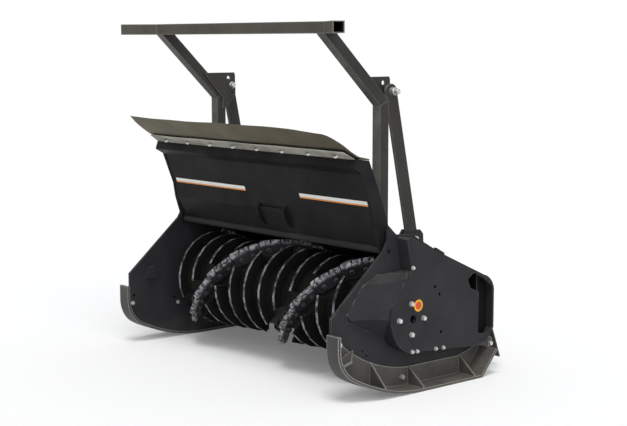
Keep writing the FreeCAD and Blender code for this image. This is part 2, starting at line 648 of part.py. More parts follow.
def gate():
    x_in = gate_half - gate_flange_t
    corner = (hinge_y + rail_corner[0], hinge_z + rail_corner[1])

    def from_hinge(*points):
        return [p if p[0] == "arc" else (hinge_y + p[0], hinge_z + p[1]) for p in points]

    flange = [corner] + from_hinge((-266.0, 552.0), (-200.0, 516.0), gate_knees[2], gate_knees[1], (-34.0, 3.0)) + [
        ("arc", (hinge_y - 4, hinge_z - 34), (hinge_y + 34, hinge_z))] + from_hinge(
        (48.0, 108.0), (32.0, 173.0), (-33.0, 349.0), (-97.0, 503.0), (-140.0, 598.0))
    plate = slab(flange, x_in, gate_half)
    plate = plate.cut(rod_x(x_in - 1, gate_half + 1, hinge_y, hinge_z, gate_pin_r + run_gap))
    keep("gate_side_plates", both_sides(plate))
    back = [(y + gate_plate_t, z) for y, z in GATE_FRONT]
    skin = GATE_FRONT + back[::-1]
    keep("gate_panel", slab(skin, -x_in, x_in))
    rail_out = [corner] + from_hinge((-270.0, 552.0), (-200.0, 512.0), (-146.0, 512.0), (-140.0, 598.0))
    rail_in = from_hinge((-239.0, 605.0), (-261.0, 555.0), (-198.0, 520.0), (-154.0, 520.0), (-149.0, 590.0))
    rail = slab(rail_out, -x_in, x_in).cut(slab(rail_in, -x_in - 1, x_in + 1))
    # lip that the deflector sheet is clamped under, leaning forward and up
    lean = math.radians(180 - sheet_lean_deg)
    d = (math.cos(lean), math.sin(lean))
    n = (-d[1], d[0])

    def strip(along0, along1, off0, off1):
        def p(a, o):
            return (corner[0] + d[0] * a + n[0] * o, corner[1] + d[1] * a + n[1] * o)
        return [p(along0, off0), p(along1, off0), p(along1, off1), p(along0, off1)]

    lip = slab(strip(-12, clamp_h, -gate_plate_t, 0), -x_in, x_in)
    keep("gate_top_rail", rail.fuse(lip).removeSplitter())
    sheet_root = 2.0
    under = seat_gap + sheet_t
    keep("deflector_sheet", sheet(strip, sheet_root, x_in))
    keep("deflector_clamp_bar", slab(strip(sheet_root, clamp_h, under + seat_gap,
                                           under + seat_gap + clamp_t), -x_in, x_in))
    pipe = rod_x(-x_in, x_in, hinge_y, hinge_z, gate_pipe_r).cut(
        rod_x(-x_in - 1, x_in + 1, hinge_y, hinge_z, gate_pin_r + run_gap))
    keep("gate_hinge_pipe", pipe)
    # boxed bracket on the front, where the cylinder ears are carried
    def front(z, depth=0.0):
        return (gate_back(z) - gate_plate_t - depth, z)

    low, high = hinge_z + 62, hinge_z + 224
    rib = [front(low), front(low, 22.0), front(low + 65, bracket_depth), front(high - 40, bracket_depth * 0.8),
           front(high), GATE_FRONT[1]]
    knee = [front(GATE_FRONT[1][1], 14.0)] if low + 8 < GATE_FRONT[1][1] < high - 26 else []
    strap = [front(low + 8), front(low + 8, 14.0)] + knee + [
        front(high - 26, 14.0), front(high - 26)] + [(y, z) for y, z in GATE_FRONT[1:2] if knee]
    x0, x1 = cyl_x - bracket_half, cyl_x + bracket_half
    box = slab(rib, x0, x0 + bracket_rib_t).fuse(
        [slab(rib, x1 - bracket_rib_t, x1), slab(strap, x0 + 1, x1 - 1)]).removeSplitter()
    keep("gate_front_bracket", box)
    # cylinder ears
    py, pz = polar(hinge_y, hinge_z, lug_radius, lug_deg)
    knee = GATE_FRONT[1]
    ear = [
        (hinge_y + 30, hinge_z + 22), (py + 26, pz - 28), ("arc", (py + 40, pz + 6), (py + 14, pz + 38)),
        (gate_back(hinge_z + 248), hinge_z + 248), (knee[0] + gate_plate_t, knee[1]),
        (gate_back(hinge_z + 32), hinge_z + 32),
    ]
    x_a = eye_w / 2 + ear_side_gap
    ears = []
    for x0 in (cyl_x + x_a, cyl_x - x_a - ear_t):
        ears.append(slab(ear, x0, x0 + ear_t))
    keep("gate_cylinder_ears", *ears)
    caps = []
    for x0, x1 in ((cyl_x + x_a + ear_t, cyl_x + x_a + ear_t + 12),
                   (cyl_x - x_a - ear_t - 12, cyl_x - x_a - ear_t)):
        caps.append(slab([polar(py, pz, cyl_pin_r + 8, 60 * k) for k in range(6)], x0, x1))
    keep("gate_pin_caps", *caps)
    # hinge pins through the end plates
    keep("gate_hinge_pins", both_sides(rod_x(gate_half - 60, PLATE_OUT - 4, hinge_y, hinge_z, gate_pin_r)))


def sheet(strip, root, half):
    """Rubber sheet: flat where it is clamped, then curled up towards its free edge."""
    flat = clamp_h + 6.0
    top0, top1, low1, low0 = strip(root, root + flat, seat_gap, seat_gap + sheet_t)
    curl = math.radians(sheet_curl_deg)
    radius = (sheet_len - flat) / curl
    lean = math.radians(sheet_lean_deg)
    centre = (top1[0] + radius * math.sin(lean), top1[1] + radius * math.cos(lean))

    def on_curl(share, r):
        a = lean + curl * share
        return (centre[0] - r * math.sin(a), centre[1] - r * math.cos(a))

    low_r = radius + sheet_t
    body = slab([top0, top1, ("arc", on_curl(0.5, radius), on_curl(1, radius)), on_curl(1, low_r),
                 ("arc", on_curl(0.5, low_r), low1), low0], -half, half)
    edge_y, r = on_curl(1, low_r)[0], sheet_corner_r
    worn = [V(half - r, edge_y - 9, 0), V(half - r, edge_y, 0), V(half - 0.3 * r, edge_y + 0.3 * r, 0),
            V(half, edge_y + r, 0), V(half + 9, edge_y + r, 0), V(half + 9, edge_y - 9, 0)]
    return body.cut(Part.Face(Part.makePolygon(worn + worn[:1])).extrude(V(0, 0, 2 * hinge_z)))


# ---------------------------------------------------------------- gate cylinder
def cylinder():
    by, bz = cyl_base_y, cyl_base_z
    py, pz = polar(hinge_y, hinge_z, lug_radius, lug_deg)
    rest_len = math.dist((by, bz), (py, pz))
    direction = V(0, py - by, pz - bz)
    direction.normalize()
    base = V(cyl_x, by, bz)

    def along(s):
        return base + direction * s

    def bar(s0, s1, r):
        return Part.makeCylinder(r, s1 - s0, along(s0), direction)

    bore_start = barrel_start + 10.0
    barrel = bar(barrel_start, barrel_len, barrel_r).cut(bar(bore_start, barrel_len + 1, rod_r + run_gap))
    turn = math.degrees(math.atan2(direction.z, direction.y))
    neck = block(cyl_x - eye_w / 2 + 1, cyl_x + eye_w / 2 - 1, 0, barrel_start + 1, -eye_w / 2, eye_w / 2)
    neck.rotate(V(0, 0, 0), V(1, 0, 0), turn)
    neck.translate(V(0, by, bz))
    eye = rod_x(cyl_x - eye_w / 2, cyl_x + eye_w / 2, by, bz, eye_r)
    barrel = barrel.fuse([neck, eye])
    barrel = barrel.cut(rod_x(cyl_x - eye_w, cyl_x + eye_w, by, bz, cyl_pin_r + run_gap))
    keep("cylinder_barrel", barrel)
    rod = bar(bore_start + 2, rest_len - eye_r + 8, rod_r)
    rod_eye = rod_x(cyl_x - eye_w / 2, cyl_x + eye_w / 2, py, pz, eye_r)
    keep("cylinder_rod", rod.fuse(rod_eye).removeSplitter())
    # tower on the hood with the base pin
    tower = [
        (by - 130, hood_line(by - 130)), (by + 120, hood_line(by + 120)), (by + 36, bz + 10),
        ("arc", (by, bz + 42), (by - 36, bz + 10)),
    ]
    x_a = eye_w / 2 + ear_side_gap
    plates = []
    for x0 in (cyl_x + x_a, cyl_x - x_a - ear_t):
        plates.append(slab(tower, x0, x0 + ear_t).cut(rod_x(x0 - 1, x0 + ear_t + 1, by, bz, cyl_pin_r)))
    keep("cylinder_tower", *plates)
    length = x_a + ear_t + 12
    keep("cylinder_base_pin", rod_x(cyl_x - length, cyl_x + length, by, bz, cyl_pin_r))
    print("cylinder closed length", round(rest_len, 1))


# ---------------------------------------------------------------- pushing frame
def push_frame():
    half = tube / 2
    x = frame_half
    front = upright_y - half
    rear = upright_y + half
    # the arm runs from the elbow up and forward to the underside of the bar
    arm_dir = (bar_front_y - front, bar_bottom_z - elbow_z)
    size = math.hypot(*arm_dir)
    arm_dir = (arm_dir[0] / size, arm_dir[1] / size)
    lean = math.atan2(-arm_dir[0], arm_dir[1])
    elbow_rear_z = elbow_z + tube * math.tan(lean / 2)
    run = tube / math.cos(lean)
    arm_rear_top = (bar_front_y + run, bar_bottom_z)
    upright = [(front, beam_z1 + foot_t), (rear, beam_z1 + foot_t), (rear, elbow_rear_z), (front, elbow_z)]
    inner_upright = [(front + tube_wall, beam_z1 + foot_t - 1), (rear - tube_wall, beam_z1 + foot_t - 1),
                     (rear - tube_wall, elbow_rear_z + 60), (front + tube_wall, elbow_z + 60)]
    post = slab(upright, x - half, x + half).cut(
        slab(inner_upright, x - half + tube_wall, x + half - tube_wall))
    keep("push_uprights", both_sides(post))
    arm = [(front, elbow_z), (rear, elbow_rear_z), arm_rear_top, (bar_front_y, bar_bottom_z)]
    nx, nz = math.cos(lean) * tube_wall, math.sin(lean) * tube_wall
    e1 = (rear - nx - arm_dir[0] * 90, elbow_rear_z - nz - arm_dir[1] * 90)
    e0 = (front + nx - arm_dir[0] * 90, elbow_z + nz - arm_dir[1] * 90)
    length = size + 260
    e2 = (e1[0] + arm_dir[0] * length, e1[1] + arm_dir[1] * length)
    e3 = (e0[0] + arm_dir[0] * length, e0[1] + arm_dir[1] * length)
    hollow = slab([e0, e1, e2, e3], x - half + tube_wall, x + half - tube_wall)
    keep("push_arms", both_sides(slab(arm, x - half, x + half).cut(hollow)))
    # crossbar, open ended, and the swept wings
    y0, y1 = bar_front_y, bar_front_y + tube
    z0, z1 = bar_bottom_z, bar_bottom_z + tube
    sweep = math.radians(wing_sweep_deg)
    mitre = math.tan(sweep / 2) * tube
    end = x + half

    def plan(points, low, high):
        face = Part.Face(Part.makePolygon([V(a, b, low) for a, b in points + points[:1]]))
        return face.extrude(V(0, 0, high - low))

    bar = plan([(-end, y0), (end, y0), (end + mitre, y1), (-end - mitre, y1)], z0, z1)
    bar = bar.cut(block(-end - 200, end + 200, y0 + tube_wall, y1 - tube_wall, z0 + tube_wall, z1 - tube_wall))
    keep("push_crossbar", bar)
    d = (math.cos(sweep), -math.sin(sweep))
    side = (math.sin(sweep), math.cos(sweep))
    a, b = (end, y0), (end + mitre, y1)
    c = (b[0] + d[0] * wing_len, b[1] + d[1] * wing_len)
    e = (c[0] - side[0] * tube, c[1] - side[1] * tube)
    wing = plan([a, e, c, b], z0, z1)
    w = tube_wall
    a2 = (end - d[0] * 120 + side[0] * w, y0 - d[1] * 120 + side[1] * w)
    b2 = (a2[0] + side[0] * (tube - 2 * w), a2[1] + side[1] * (tube - 2 * w))
    far = wing_len + 300
    c2 = (b2[0] + d[0] * far, b2[1] + d[1] * far)
    e2p = (a2[0] + d[0] * far, a2[1] + d[1] * far)
    wing = wing.cut(plan([a2, e2p, c2, b2], z0 + w, z1 - w))
    keep("push_wings", both_sides(wing))
    foot = block(x - 85, x + 85, beam_y0 + 4, beam_y1 - 2, beam_z1, beam_z1 + foot_t)
    keep("push_frame_feet", both_sides(foot))
    # side plates behind the elbow
    pin_y, pin_z = bracket_pin
    top = pin_z + 97
    plate = [
        (bracket_front(arm_dir, elbow_z, front, top), top), (pin_y + 25, top), (pin_y + 32, top - 18),
        (pin_y + 36, pin_z - 61), (rear, elbow_z - 81), (rear - 30, elbow_z - 81),
        (rear - 30, elbow_rear_z - 40), (front + 14, elbow_z + 28)]
    plates = []
    for x0 in (x + half, x - half - bracket_t):
        piece = slab(plate, x0, x0 + bracket_t)
        for (dy, dz) in ((0.0, 0.0), spare_hole, lower_hole):
            piece = piece.cut(facet_rod(x0 - 1, x0 + bracket_t + 1, pin_y + dy, pin_z + dz, brace_pin_r))
        plates.append(piece)
    both = Part.makeCompound(plates)
    keep("brace_brackets", both_sides(both))
    # flat braces, pins and lugs
    lug_pin = (lug_pin_y, hood_line(lug_pin_y) + lug_pin_h)
    u = (lug_pin[0] - bracket_pin[0], lug_pin[1] - bracket_pin[1])
    n = math.hypot(*u)
    u = (u[0] / n, u[1] / n)
    side2 = (-u[1], u[0])
    w2 = brace_w / 2

    def at(p, al, of):
        return (p[0] + u[0] * al + side2[0] * of, p[1] + u[1] * al + side2[1] * of)

    brace = [
        at(bracket_pin, 0, -w2), at(lug_pin, 0, -w2), ("arc", at(lug_pin, w2, 0), at(lug_pin, 0, w2)),
        at(bracket_pin, 0, w2), ("arc", at(bracket_pin, -w2, 0), at(bracket_pin, 0, -w2))]
    bar = slab(brace, x - brace_t / 2, x + brace_t / 2)
    for (hy, hz) in (bracket_pin, lug_pin):
        bar = bar.cut(facet_rod(x - 40, x + 40, hy, hz, brace_pin_r))
    keep("braces", both_sides(bar))
    long_pin = facet_rod(x - half - bracket_t - 14, x + half + bracket_t + 14, *bracket_pin, brace_pin_r)
    gap = brace_t / 2 + 2
    short_pin = facet_rod(x - gap - lug_t - 12, x + gap + lug_t + 12, *lug_pin, brace_pin_r)
    keep("brace_pins", both_sides(long_pin), both_sides(short_pin))
    ly, top = lug_pin[0], lug_pin[1] + 67
    lug = [
        (ly - 94, hood_line(ly - 94)), (ly - 94, top - 30), (ly - 72, top), (ly + 58, top - 8), (ly + 86, top - 40),
        (ly + 98, hood_line(ly + 98))]
    lugs = []
    for x0 in (x + gap, x - gap - lug_t):
        lugs.append(slab(lug, x0, x0 + lug_t).cut(facet_rod(x0 - 1, x0 + lug_t + 1, *lug_pin, brace_pin_r)))
    keep("brace_lugs", both_sides(Part.makeCompound(lugs)))


def bracket_front(arm_dir, z_low, y_low, z):
    """Y of the arm's lower face at height z, plus the tube's thickness along Y."""
    step = (z - z_low) / arm_dir[1]
    return y_low + arm_dir[0] * step + tube * 0.9


# ---------------------------------------------------------------- rear mounts and curtain
def rear_parts():
    plates = []
    (ly, lz), (hy, hz) = mount_low, mount_high
    outline = [
        (plate_rear_y, lz - 80), (ly, lz - 66), (ly + 44, lz - 45), (rear_reach_y, lz), (ly + 44, lz + 50),
        (hy + 50, hz - 50), (hy + 60, hz + 20), (hy + 25, hz + 58), (plate_rear_y, hz + 70),
    ]
    for centre in (-mount_half, mount_half):
        for x0 in (centre - mount_gap / 2 - mount_t, centre + mount_gap / 2):
            piece = slab(outline, x0, x0 + mount_t)
            for (py, pz) in (mount_low, mount_high):
                piece = piece.cut(rod_x(x0 - 1, x0 + mount_t + 1, py, pz, mount_bore_r))
            plates.append(piece)
    keep("carrier_mount_plates", *plates)
    top = (plate_rear_y + 8.0, 300.0)
    low = (1005.0, 62.0)
    lean = math.atan2(low[0] - top[0], top[1] - low[1])
    nx, nz = math.cos(lean), math.sin(lean)
    sheet = [top, low, (low[0] + nx * curtain_t, low[1] + nz * curtain_t),
             (top[0] + nx * curtain_t, top[1] + nz * curtain_t)]
    keep("rear_curtain", slab(sheet, -PLATE_OUT, PLATE_OUT))
    hold = (top[0] + 34 * math.sin(lean), top[1] - 34 * math.cos(lean))
    ledge = [(plate_rear_y, hold[1]), (plate_rear_y, 322.0), (top[0] + 2, 322.0),
             (top[0] + 2, top[1] + 6), (top[0] - seat_gap, top[1]), (hold[0] - seat_gap, hold[1])]
    keep("curtain_rail", slab(ledge, -PLATE_OUT, PLATE_OUT))


# ---------------------------------------------------------------- build
def main():
    plate = end_plate()
    keep("end_plate_right", plate)
    keep("end_plate_left", mirrored(plate))
    shoe = skid_shoe()
    keep("skid_shoe_right", shoe)
    keep("skid_shoe_left", mirrored(shoe))
    rotor_parts()
    bearing_housings()
    hood()
    belt_housing()
    gate()
    cylinder()
    push_frame()
    rear_parts()
    os.makedirs("parts", exist_ok=True)
    for name, shape in PARTS.items():
        shape.translate(V(0, -MIDDLE_Y, 0))
        bad = [s for s in shape.Solids if not s.isValid() or s.Volume <= 0]
        print(name, "solids", len(shape.Solids), "litres", round(shape.Volume / 1e6, 2), "BAD" if bad else "")
        shape.exportStep("parts/%s.step" % name)
    total = sum(shape.Volume for shape in PARTS.values())
    print(len(PARTS), "nodes,", round(total / 1e9 * 7850), "kg as steel")


main()
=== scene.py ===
# %% [markdown]
# # A forestry mulching head in Blender
# The head hangs on the front arms of a carrier.  A toothed rotor turns between two end plates that
# slide on skid shoes, a hydraulic gate opens over it, and a frame of square tube pushes trees over.
# Its steel pieces come ready from the CAD frame.  This lesson gives them worn paint and bare steel,
# and adds what a workshop adds last: bolts, weld beads, rubber sheets, stripes and a warning disc.

# %% Load the steel pieces
import json
import math

import bmesh
import bpy
from mathutils import Matrix, Vector
from mathutils.bvhtree import BVHTree


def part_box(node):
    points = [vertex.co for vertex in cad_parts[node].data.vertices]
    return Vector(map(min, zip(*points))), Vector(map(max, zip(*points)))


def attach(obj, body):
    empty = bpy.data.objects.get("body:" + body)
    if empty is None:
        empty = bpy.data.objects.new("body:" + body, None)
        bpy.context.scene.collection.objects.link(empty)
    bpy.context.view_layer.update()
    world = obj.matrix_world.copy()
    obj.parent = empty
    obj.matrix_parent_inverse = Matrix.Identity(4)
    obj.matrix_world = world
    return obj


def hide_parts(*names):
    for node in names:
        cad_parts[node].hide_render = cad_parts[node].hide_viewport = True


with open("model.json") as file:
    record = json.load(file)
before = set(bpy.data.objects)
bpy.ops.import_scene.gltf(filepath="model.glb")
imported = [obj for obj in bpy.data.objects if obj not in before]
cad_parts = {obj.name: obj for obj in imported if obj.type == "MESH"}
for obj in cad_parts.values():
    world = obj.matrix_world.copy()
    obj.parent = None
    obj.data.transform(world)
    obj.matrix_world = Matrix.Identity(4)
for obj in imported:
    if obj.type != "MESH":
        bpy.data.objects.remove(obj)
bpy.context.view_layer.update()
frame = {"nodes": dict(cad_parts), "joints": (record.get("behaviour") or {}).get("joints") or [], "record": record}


def add_object(name, data):
    obj = bpy.data.objects.new(name, data)
    bpy.context.scene.collection.objects.link(obj)
    return obj


print("steel pieces:", len(frame["nodes"]))

# %% [markdown]
# ## Where things are
# Everything is placed from the rotor's axis, because the whole head is built round it.  Lengths are in
# metres.  The helper `at` takes a place as the drawing gives it: X along the rotor, Y from the rotor's
# axis with the front negative, and Z from the floor.

# %% Rotor axis and the main planes
joints = {joint["name"]: joint for joint in frame["joints"]}
AXIS = Vector(joints["rotor_spin"]["pos_m"])


def at(x, y, z):
    return Vector((x, AXIS.y + y, z))


cover_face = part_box("belt_housing_cover")[1].x
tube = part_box("push_crossbar")[1].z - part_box("push_crossbar")[0].z
frame_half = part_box("push_uprights")[1].x - tube / 2
print("rotor axis", tuple(round(v, 4) for v in AXIS), "cover at X", round(cover_face, 3))
print("tube", round(tube, 4), "uprights at X", round(frame_half, 3))

# %% [markdown]
# A bolt must sit on the steel, so its place is found by looking along a line at a steel piece and
# taking the first point that is hit.  The face's own direction there says which way the bolt stands.

# %% Find the steel under a point
_trees = {}


def seat(node, start, toward):
    """First point of a steel piece from 'start' along 'toward', and the direction the face looks."""
    if node not in _trees:
        mesh = frame["nodes"][node].data
        _trees[node] = BVHTree.FromPolygons([v.co for v in mesh.vertices], [p.vertices for p in mesh.polygons])
    spot, normal, _, _ = _trees[node].ray_cast(Vector(start), Vector(toward).normalized())
    if spot is None:
        raise RuntimeError(f"nothing of {node} lies along that line from {tuple(start)}")
    return spot, normal


print("cover is hit at", seat("belt_housing_cover", at(2.0, 0.1, 0.35), (-1, 0, 0))[0])

# %% [markdown]
# ## Camera
# The head is seen from its front right corner with a long lens, a little above the rotor's height and
# looking slightly down.  A long lens keeps the square tubes nearly parallel, as a catalogue view does.

# %% Camera
camera_data = bpy.data.cameras.new("camera")
camera_data.sensor_width = 36.0
camera_data.lens = 78.27
camera = add_object("camera", camera_data)
camera.location = (7.4865, -6.4429, 2.2796)
looks_down, turned_left = 7.1, 49.1     # degrees
camera.rotation_euler = (math.radians(90 - looks_down), 0, math.radians(turned_left))
camera_data.clip_end = 200
bpy.context.scene.camera = camera
print("camera stands", round((camera.location - AXIS).length, 2), "m from the rotor's middle")

# %% [markdown]
# ## Helpers for node trees
# Light, paint, bolts and weld beads are all built from nodes.  One helper adds a node, makes its
# settings, and gives each input a plain value or a link.  The others are short names for the few nodes
# that are used most.

# %% Node helpers
FLOAT = "NodeSocketFloat"


def set_inputs(tree, node, inputs):
    """Gives each named input a plain value, or links it to a socket."""
    for label, value in inputs.items():
        if isinstance(value, bpy.types.NodeSocket):
            tree.links.new(value, node.inputs[label])
        elif value is not None:
            node.inputs[label].default_value = value


def add_node(tree, kind, inputs=None, **settings):
    node = tree.nodes.new(kind)
    for label, value in settings.items():
        setattr(node, label, value)
    set_inputs(tree, node, inputs or {})
    return node


def math_node(tree, operation, a, b=None, clamp=False):
    return add_node(tree, "ShaderNodeMath", {0: a, 1: b}, operation=operation, use_clamp=clamp).outputs[0]


def times(tree, a, b, clamp=False):
    return math_node(tree, "MULTIPLY", a, b, clamp)


def plus(tree, a, b, clamp=False):
    return math_node(tree, "ADD", a, b, clamp)


def minus(tree, a, b, clamp=False):
    return math_node(tree, "SUBTRACT", a, b, clamp)


def noise(tree, place, scale, detail=4.0, rough=0.6):
    return add_node(tree, "ShaderNodeTexNoise",
                    {"Vector": place, "Scale": scale, "Detail": detail, "Roughness": rough}).outputs["Fac"]


def step_up(tree, value, low, high):
    """0 below 'low', 1 above 'high', smooth in between."""
    return add_node(tree, "ShaderNodeMapRange", {"Value": value, "From Min": low, "From Max": high},
                    interpolation_type="SMOOTHSTEP").outputs["Result"]


def mix_color(tree, factor, a, b, blend="MIX"):
    a, b = ((*color, 1) if isinstance(color, tuple) else color for color in (a, b))
    return add_node(tree, "ShaderNodeMix", {0: factor, 6: a, 7: b}, data_type="RGBA", clamp_factor=True,
                    blend_type=blend).outputs[2]


def split(tree, vector):
    return add_node(tree, "ShaderNodeSeparateXYZ", {0: vector}).outputs


def compare(tree, a, b):
    """How far two directions agree: 1 if they are the same."""
    return add_node(tree, "ShaderNodeVectorMath", {0: a, 1: b}, operation="DOT_PRODUCT").outputs["Value"]


def own_place(tree):
    """The place on the piece itself, which travels with it, and the way its face looks."""
    found = add_node(tree, "ShaderNodeTexCoord").outputs
    return found["Object"], found["Normal"]


def new_material(name):
    """A material with its tree and its shader."""
    material = bpy.data.materials.new(name)
    material.use_nodes = True
    return material, material.node_tree, material.node_tree.nodes["Principled BSDF"]


print("node helpers are ready")

# %% [markdown]
# ## Light and floor
# Dark paint shows its form only by how its faces lean, so one sun stands high in front, a broader and
# weaker one stands lower on the right to light the belt housing's cover, and a plain white dome lights
# the rest.  Together they light a white card to about white and no further.  A sun gives the same light
# everywhere, so the floor meets the backdrop without a visible edge, and it keeps the head's shadow.

# %% World light
world = bpy.data.worlds.new("studio")
bpy.context.scene.world = world
world.use_nodes = True
sky = world.node_tree
sky.nodes.clear()


def seen_directly(tree):
    """1 where the camera sees something straight on, in a mirror or through glass."""
    paths = add_node(tree, "ShaderNodeLightPath").outputs
    last = paths["Is Camera Ray"]
    for label in ("Is Glossy Ray", "Is Transmission Ray"):
        last = math_node(tree, "MAXIMUM", last, paths[label])
    return last


dome = add_node(sky, "ShaderNodeBackground", {"Color": (0.95, 0.97, 1.0, 1), "Strength": 0.38})
backdrop = add_node(sky, "ShaderNodeBackground", {"Color": (1, 1, 1, 1), "Strength": 1.0})
mix = add_node(sky, "ShaderNodeMixShader", {0: seen_directly(sky), 1: dome.outputs[0], 2: backdrop.outputs[0]})
add_node(sky, "ShaderNodeOutputWorld", {0: mix.outputs[0]})
bpy.context.scene.view_settings.view_transform = "Standard"
print("world has", len(sky.nodes), "nodes")


# %% Suns
def sun(name, toward, strength, spread_deg):
    """A far lamp that stands in the direction 'toward' and is as soft as its spread."""
    data = bpy.data.lights.new(name, "SUN")
    data.energy = strength
    data.angle = math.radians(spread_deg)
    add_object(name, data).rotation_euler = Vector(toward).to_track_quat("Z", "Y").to_euler()


sun("key_sun", (0.30, -0.30, 1.0), 1.50, 25)
sun("side_sun", (0.85, -0.35, 0.45), 0.95, 50)

# %% Floor
reach = 150
floor_mesh = bpy.data.meshes.new("floor")
floor_mesh.from_pydata([(-reach, -reach, 0), (reach, -reach, 0), (reach, reach, 0), (-reach, reach, 0)], [],
                       [(0, 1, 2, 3)])
floor_paint, tree, shader = new_material("pale_floor")
set_inputs(tree, shader, {
    "Base Color": (0.93, 0.93, 0.93, 1), "Roughness": 0.9, "Specular IOR Level": 0.1,
    "Emission Color": (1, 1, 1, 1), "Emission Strength": times(tree, seen_directly(tree), 0.14)})
floor_mesh.materials.append(floor_paint)
add_object("floor", floor_mesh)
print("floor laid at Z = 0")

# %% [markdown]
# ## Wear, dust, painted front light and grain
# Three effects turn up in almost every finish, so each is a small shader group that is built once.
# *Edge wear* compares the face's direction with a rounded one: they differ only near an edge, which is
# where paint rubs off first.  *Dust* settles on faces that look up, and mud on what is near the ground.
# The same group lightens faces that look forward, which is painted light from the front.
# *Grain* is the fine unevenness of sprayed or cast surfaces.  Each material gives them its own sizes.

# %% Edge wear group
def new_group(name, inputs, outputs):
    group = bpy.data.node_groups.new(name, "ShaderNodeTree")
    for label, value in inputs.items():
        group.interface.new_socket(label, in_out="INPUT", socket_type=FLOAT).default_value = value
    for label in outputs:
        group.interface.new_socket(label, in_out="OUTPUT", socket_type=FLOAT)
    return group, group.nodes.new("NodeGroupInput").outputs, group.nodes.new("NodeGroupOutput")


edge_wear, given, result = new_group("edge_wear", {"Width": 0.004, "Amount": 0.5, "Patch Scale": 9.0}, ["Mask"])
rounded = add_node(edge_wear, "ShaderNodeBevel", {"Radius": given["Width"]}, samples=4)
sharp = add_node(edge_wear, "ShaderNodeNewGeometry")
bend = minus(edge_wear, 1.0, compare(edge_wear, rounded.outputs["Normal"], sharp.outputs["Normal"]), clamp=True)
patch = noise(edge_wear, own_place(edge_wear)[0], given["Patch Scale"], 5.0, 0.65)
start = times(edge_wear, minus(edge_wear, 1.0, given["Amount"]), 0.6)
patchy = step_up(edge_wear, patch, start, plus(edge_wear, start, 0.18))
set_inputs(edge_wear, result, {"Mask": times(edge_wear, times(edge_wear, bend, 6.0), patchy, clamp=True)})
print("edge wear group has", len(edge_wear.nodes), "nodes")

# %% Dust and painted front light group
dust_and_front_light, given, result = new_group(
    "dust_and_front_light", {"Top Dust": 0.5, "Front Dust": 0.0, "Mud Height": 0.25, "Mud": 0.5, "Haze": 0.06, "Scale": 5.0}, ["Mask"])
spot, looks = own_place(dust_and_front_light)
looks = split(dust_and_front_light, looks)
blotch = plus(dust_and_front_light, times(dust_and_front_light, noise(dust_and_front_light, spot, given["Scale"], 8.0, 0.68), 0.7),
              times(dust_and_front_light, noise(dust_and_front_light, spot, 60.0, 6.0, 0.7), 0.3))
low = minus(dust_and_front_light, 1.0, step_up(dust_and_front_light, split(dust_and_front_light, spot)["Z"], 0.0, given["Mud Height"]))
# Faces that look forward are lightened towards the dust colour: painted light from the front.
ahead = step_up(dust_and_front_light, times(dust_and_front_light, looks["Y"], -1.0), 0.25, 0.9)
layers = [(step_up(dust_and_front_light, looks["Z"], 0.15, 0.95), "Top Dust", 0.32, 0.68), (low, "Mud", 0.36, 0.62),
          (1.0, "Haze", 0.42, 0.75), (ahead, "Front Dust", 0.2, 0.6)]
cover = 0.0
for where, amount, thin, full in layers:
    layer = times(dust_and_front_light, times(dust_and_front_light, where, given[amount]), step_up(dust_and_front_light, blotch, thin, full))
    cover = plus(dust_and_front_light, cover, layer, clamp=True)
set_inputs(dust_and_front_light, result, {"Mask": cover})
print("dust group has", len(dust_and_front_light.nodes), "nodes")

# %% Grain group
grain, given, result = new_group("grain", {"Scale": 400.0, "Dents": 0.3, "Dent Scale": 14.0}, ["Height", "Speckle"])
spot = own_place(grain)[0]
small = noise(grain, spot, given["Scale"], 3.0, 0.6)
large = noise(grain, spot, given["Dent Scale"], 2.0, 0.5)
set_inputs(grain, result, {"Height": plus(grain, times(grain, small, 0.35), times(grain, large, given["Dents"])),
                           "Speckle": step_up(grain, small, 0.35, 0.65)})
print("grain group has", len(grain.nodes), "nodes")

# %% [markdown]
# ## Paint and steel
# One function lays the coats of a finish in the order in which they came: the paint or bare steel,
# then rubbed edges where steel shows, then dust, with painted light on faces that look forward.  Only
# the wear, dust, painted front light and grain come out of groups; the shader itself stays in each
# material, with its own plain values.

# %% Coated steel
def group_in(tree, group, **values):
    node = add_node(tree, "ShaderNodeGroup", node_tree=group)
    set_inputs(tree, node, {label.replace("_", " "): value for label, value in values.items()})
    return node.outputs


finishes = {}


def coated(name, base, shade, rough, metal=0.0, wear=0.4, wear_width=0.004, steel=(0.42, 0.41, 0.39),
           top_dust=0.35, painted_front_light=0.0, mud=0.4, mud_height=0.25, haze=0.06, dust_and_front_light_color=(0.135, 0.122, 0.098),
           grain_scale=400.0, dents=0.3, bump=0.12, coat=0.0, shine=0.15):
    """Adds a finish: paint or steel of colour 'base', varied towards 'shade', worn at its edges, dusty, and lighter on
    faces that look forward as painted light.
    """
    material, tree, shader = new_material(name)
    texture = group_in(tree, grain, Scale=grain_scale, Dents=dents)
    edges = group_in(tree, edge_wear, Width=wear_width, Amount=wear)["Mask"]
    dust_and_front_light_mask = group_in(tree, dust_and_front_light, Top_Dust=top_dust, Front_Dust=painted_front_light, Mud=mud, Mud_Height=mud_height,
                    Haze=haze)["Mask"]
    color = mix_color(tree, step_up(tree, noise(tree, own_place(tree)[0], 2.6, 6.0), 0.3, 0.7), base, shade)
    color = mix_color(tree, edges, color, steel)
    rough_now = plus(tree, times(tree, texture["Speckle"], 0.08), rough - 0.04)
    metal_now = plus(tree, times(tree, edges, 0.85 * (1 - metal)), metal)
    relief = add_node(tree, "ShaderNodeBump", {"Strength": bump, "Distance": 0.002, "Height": texture["Height"]})
    set_inputs(tree, shader, {
        "Coat Weight": coat, "Coat Roughness": 0.3, "Specular IOR Level": shine,
        "Base Color": mix_color(tree, dust_and_front_light_mask, color, dust_and_front_light_color),
        "Roughness": plus(tree, rough_now, times(tree, dust_and_front_light_mask, 0.35), clamp=True),
        "Metallic": times(tree, metal_now, minus(tree, 1.0, dust_and_front_light_mask, clamp=True), clamp=True),
        "Normal": relief.outputs["Normal"]})
    finishes[name] = material
    return material


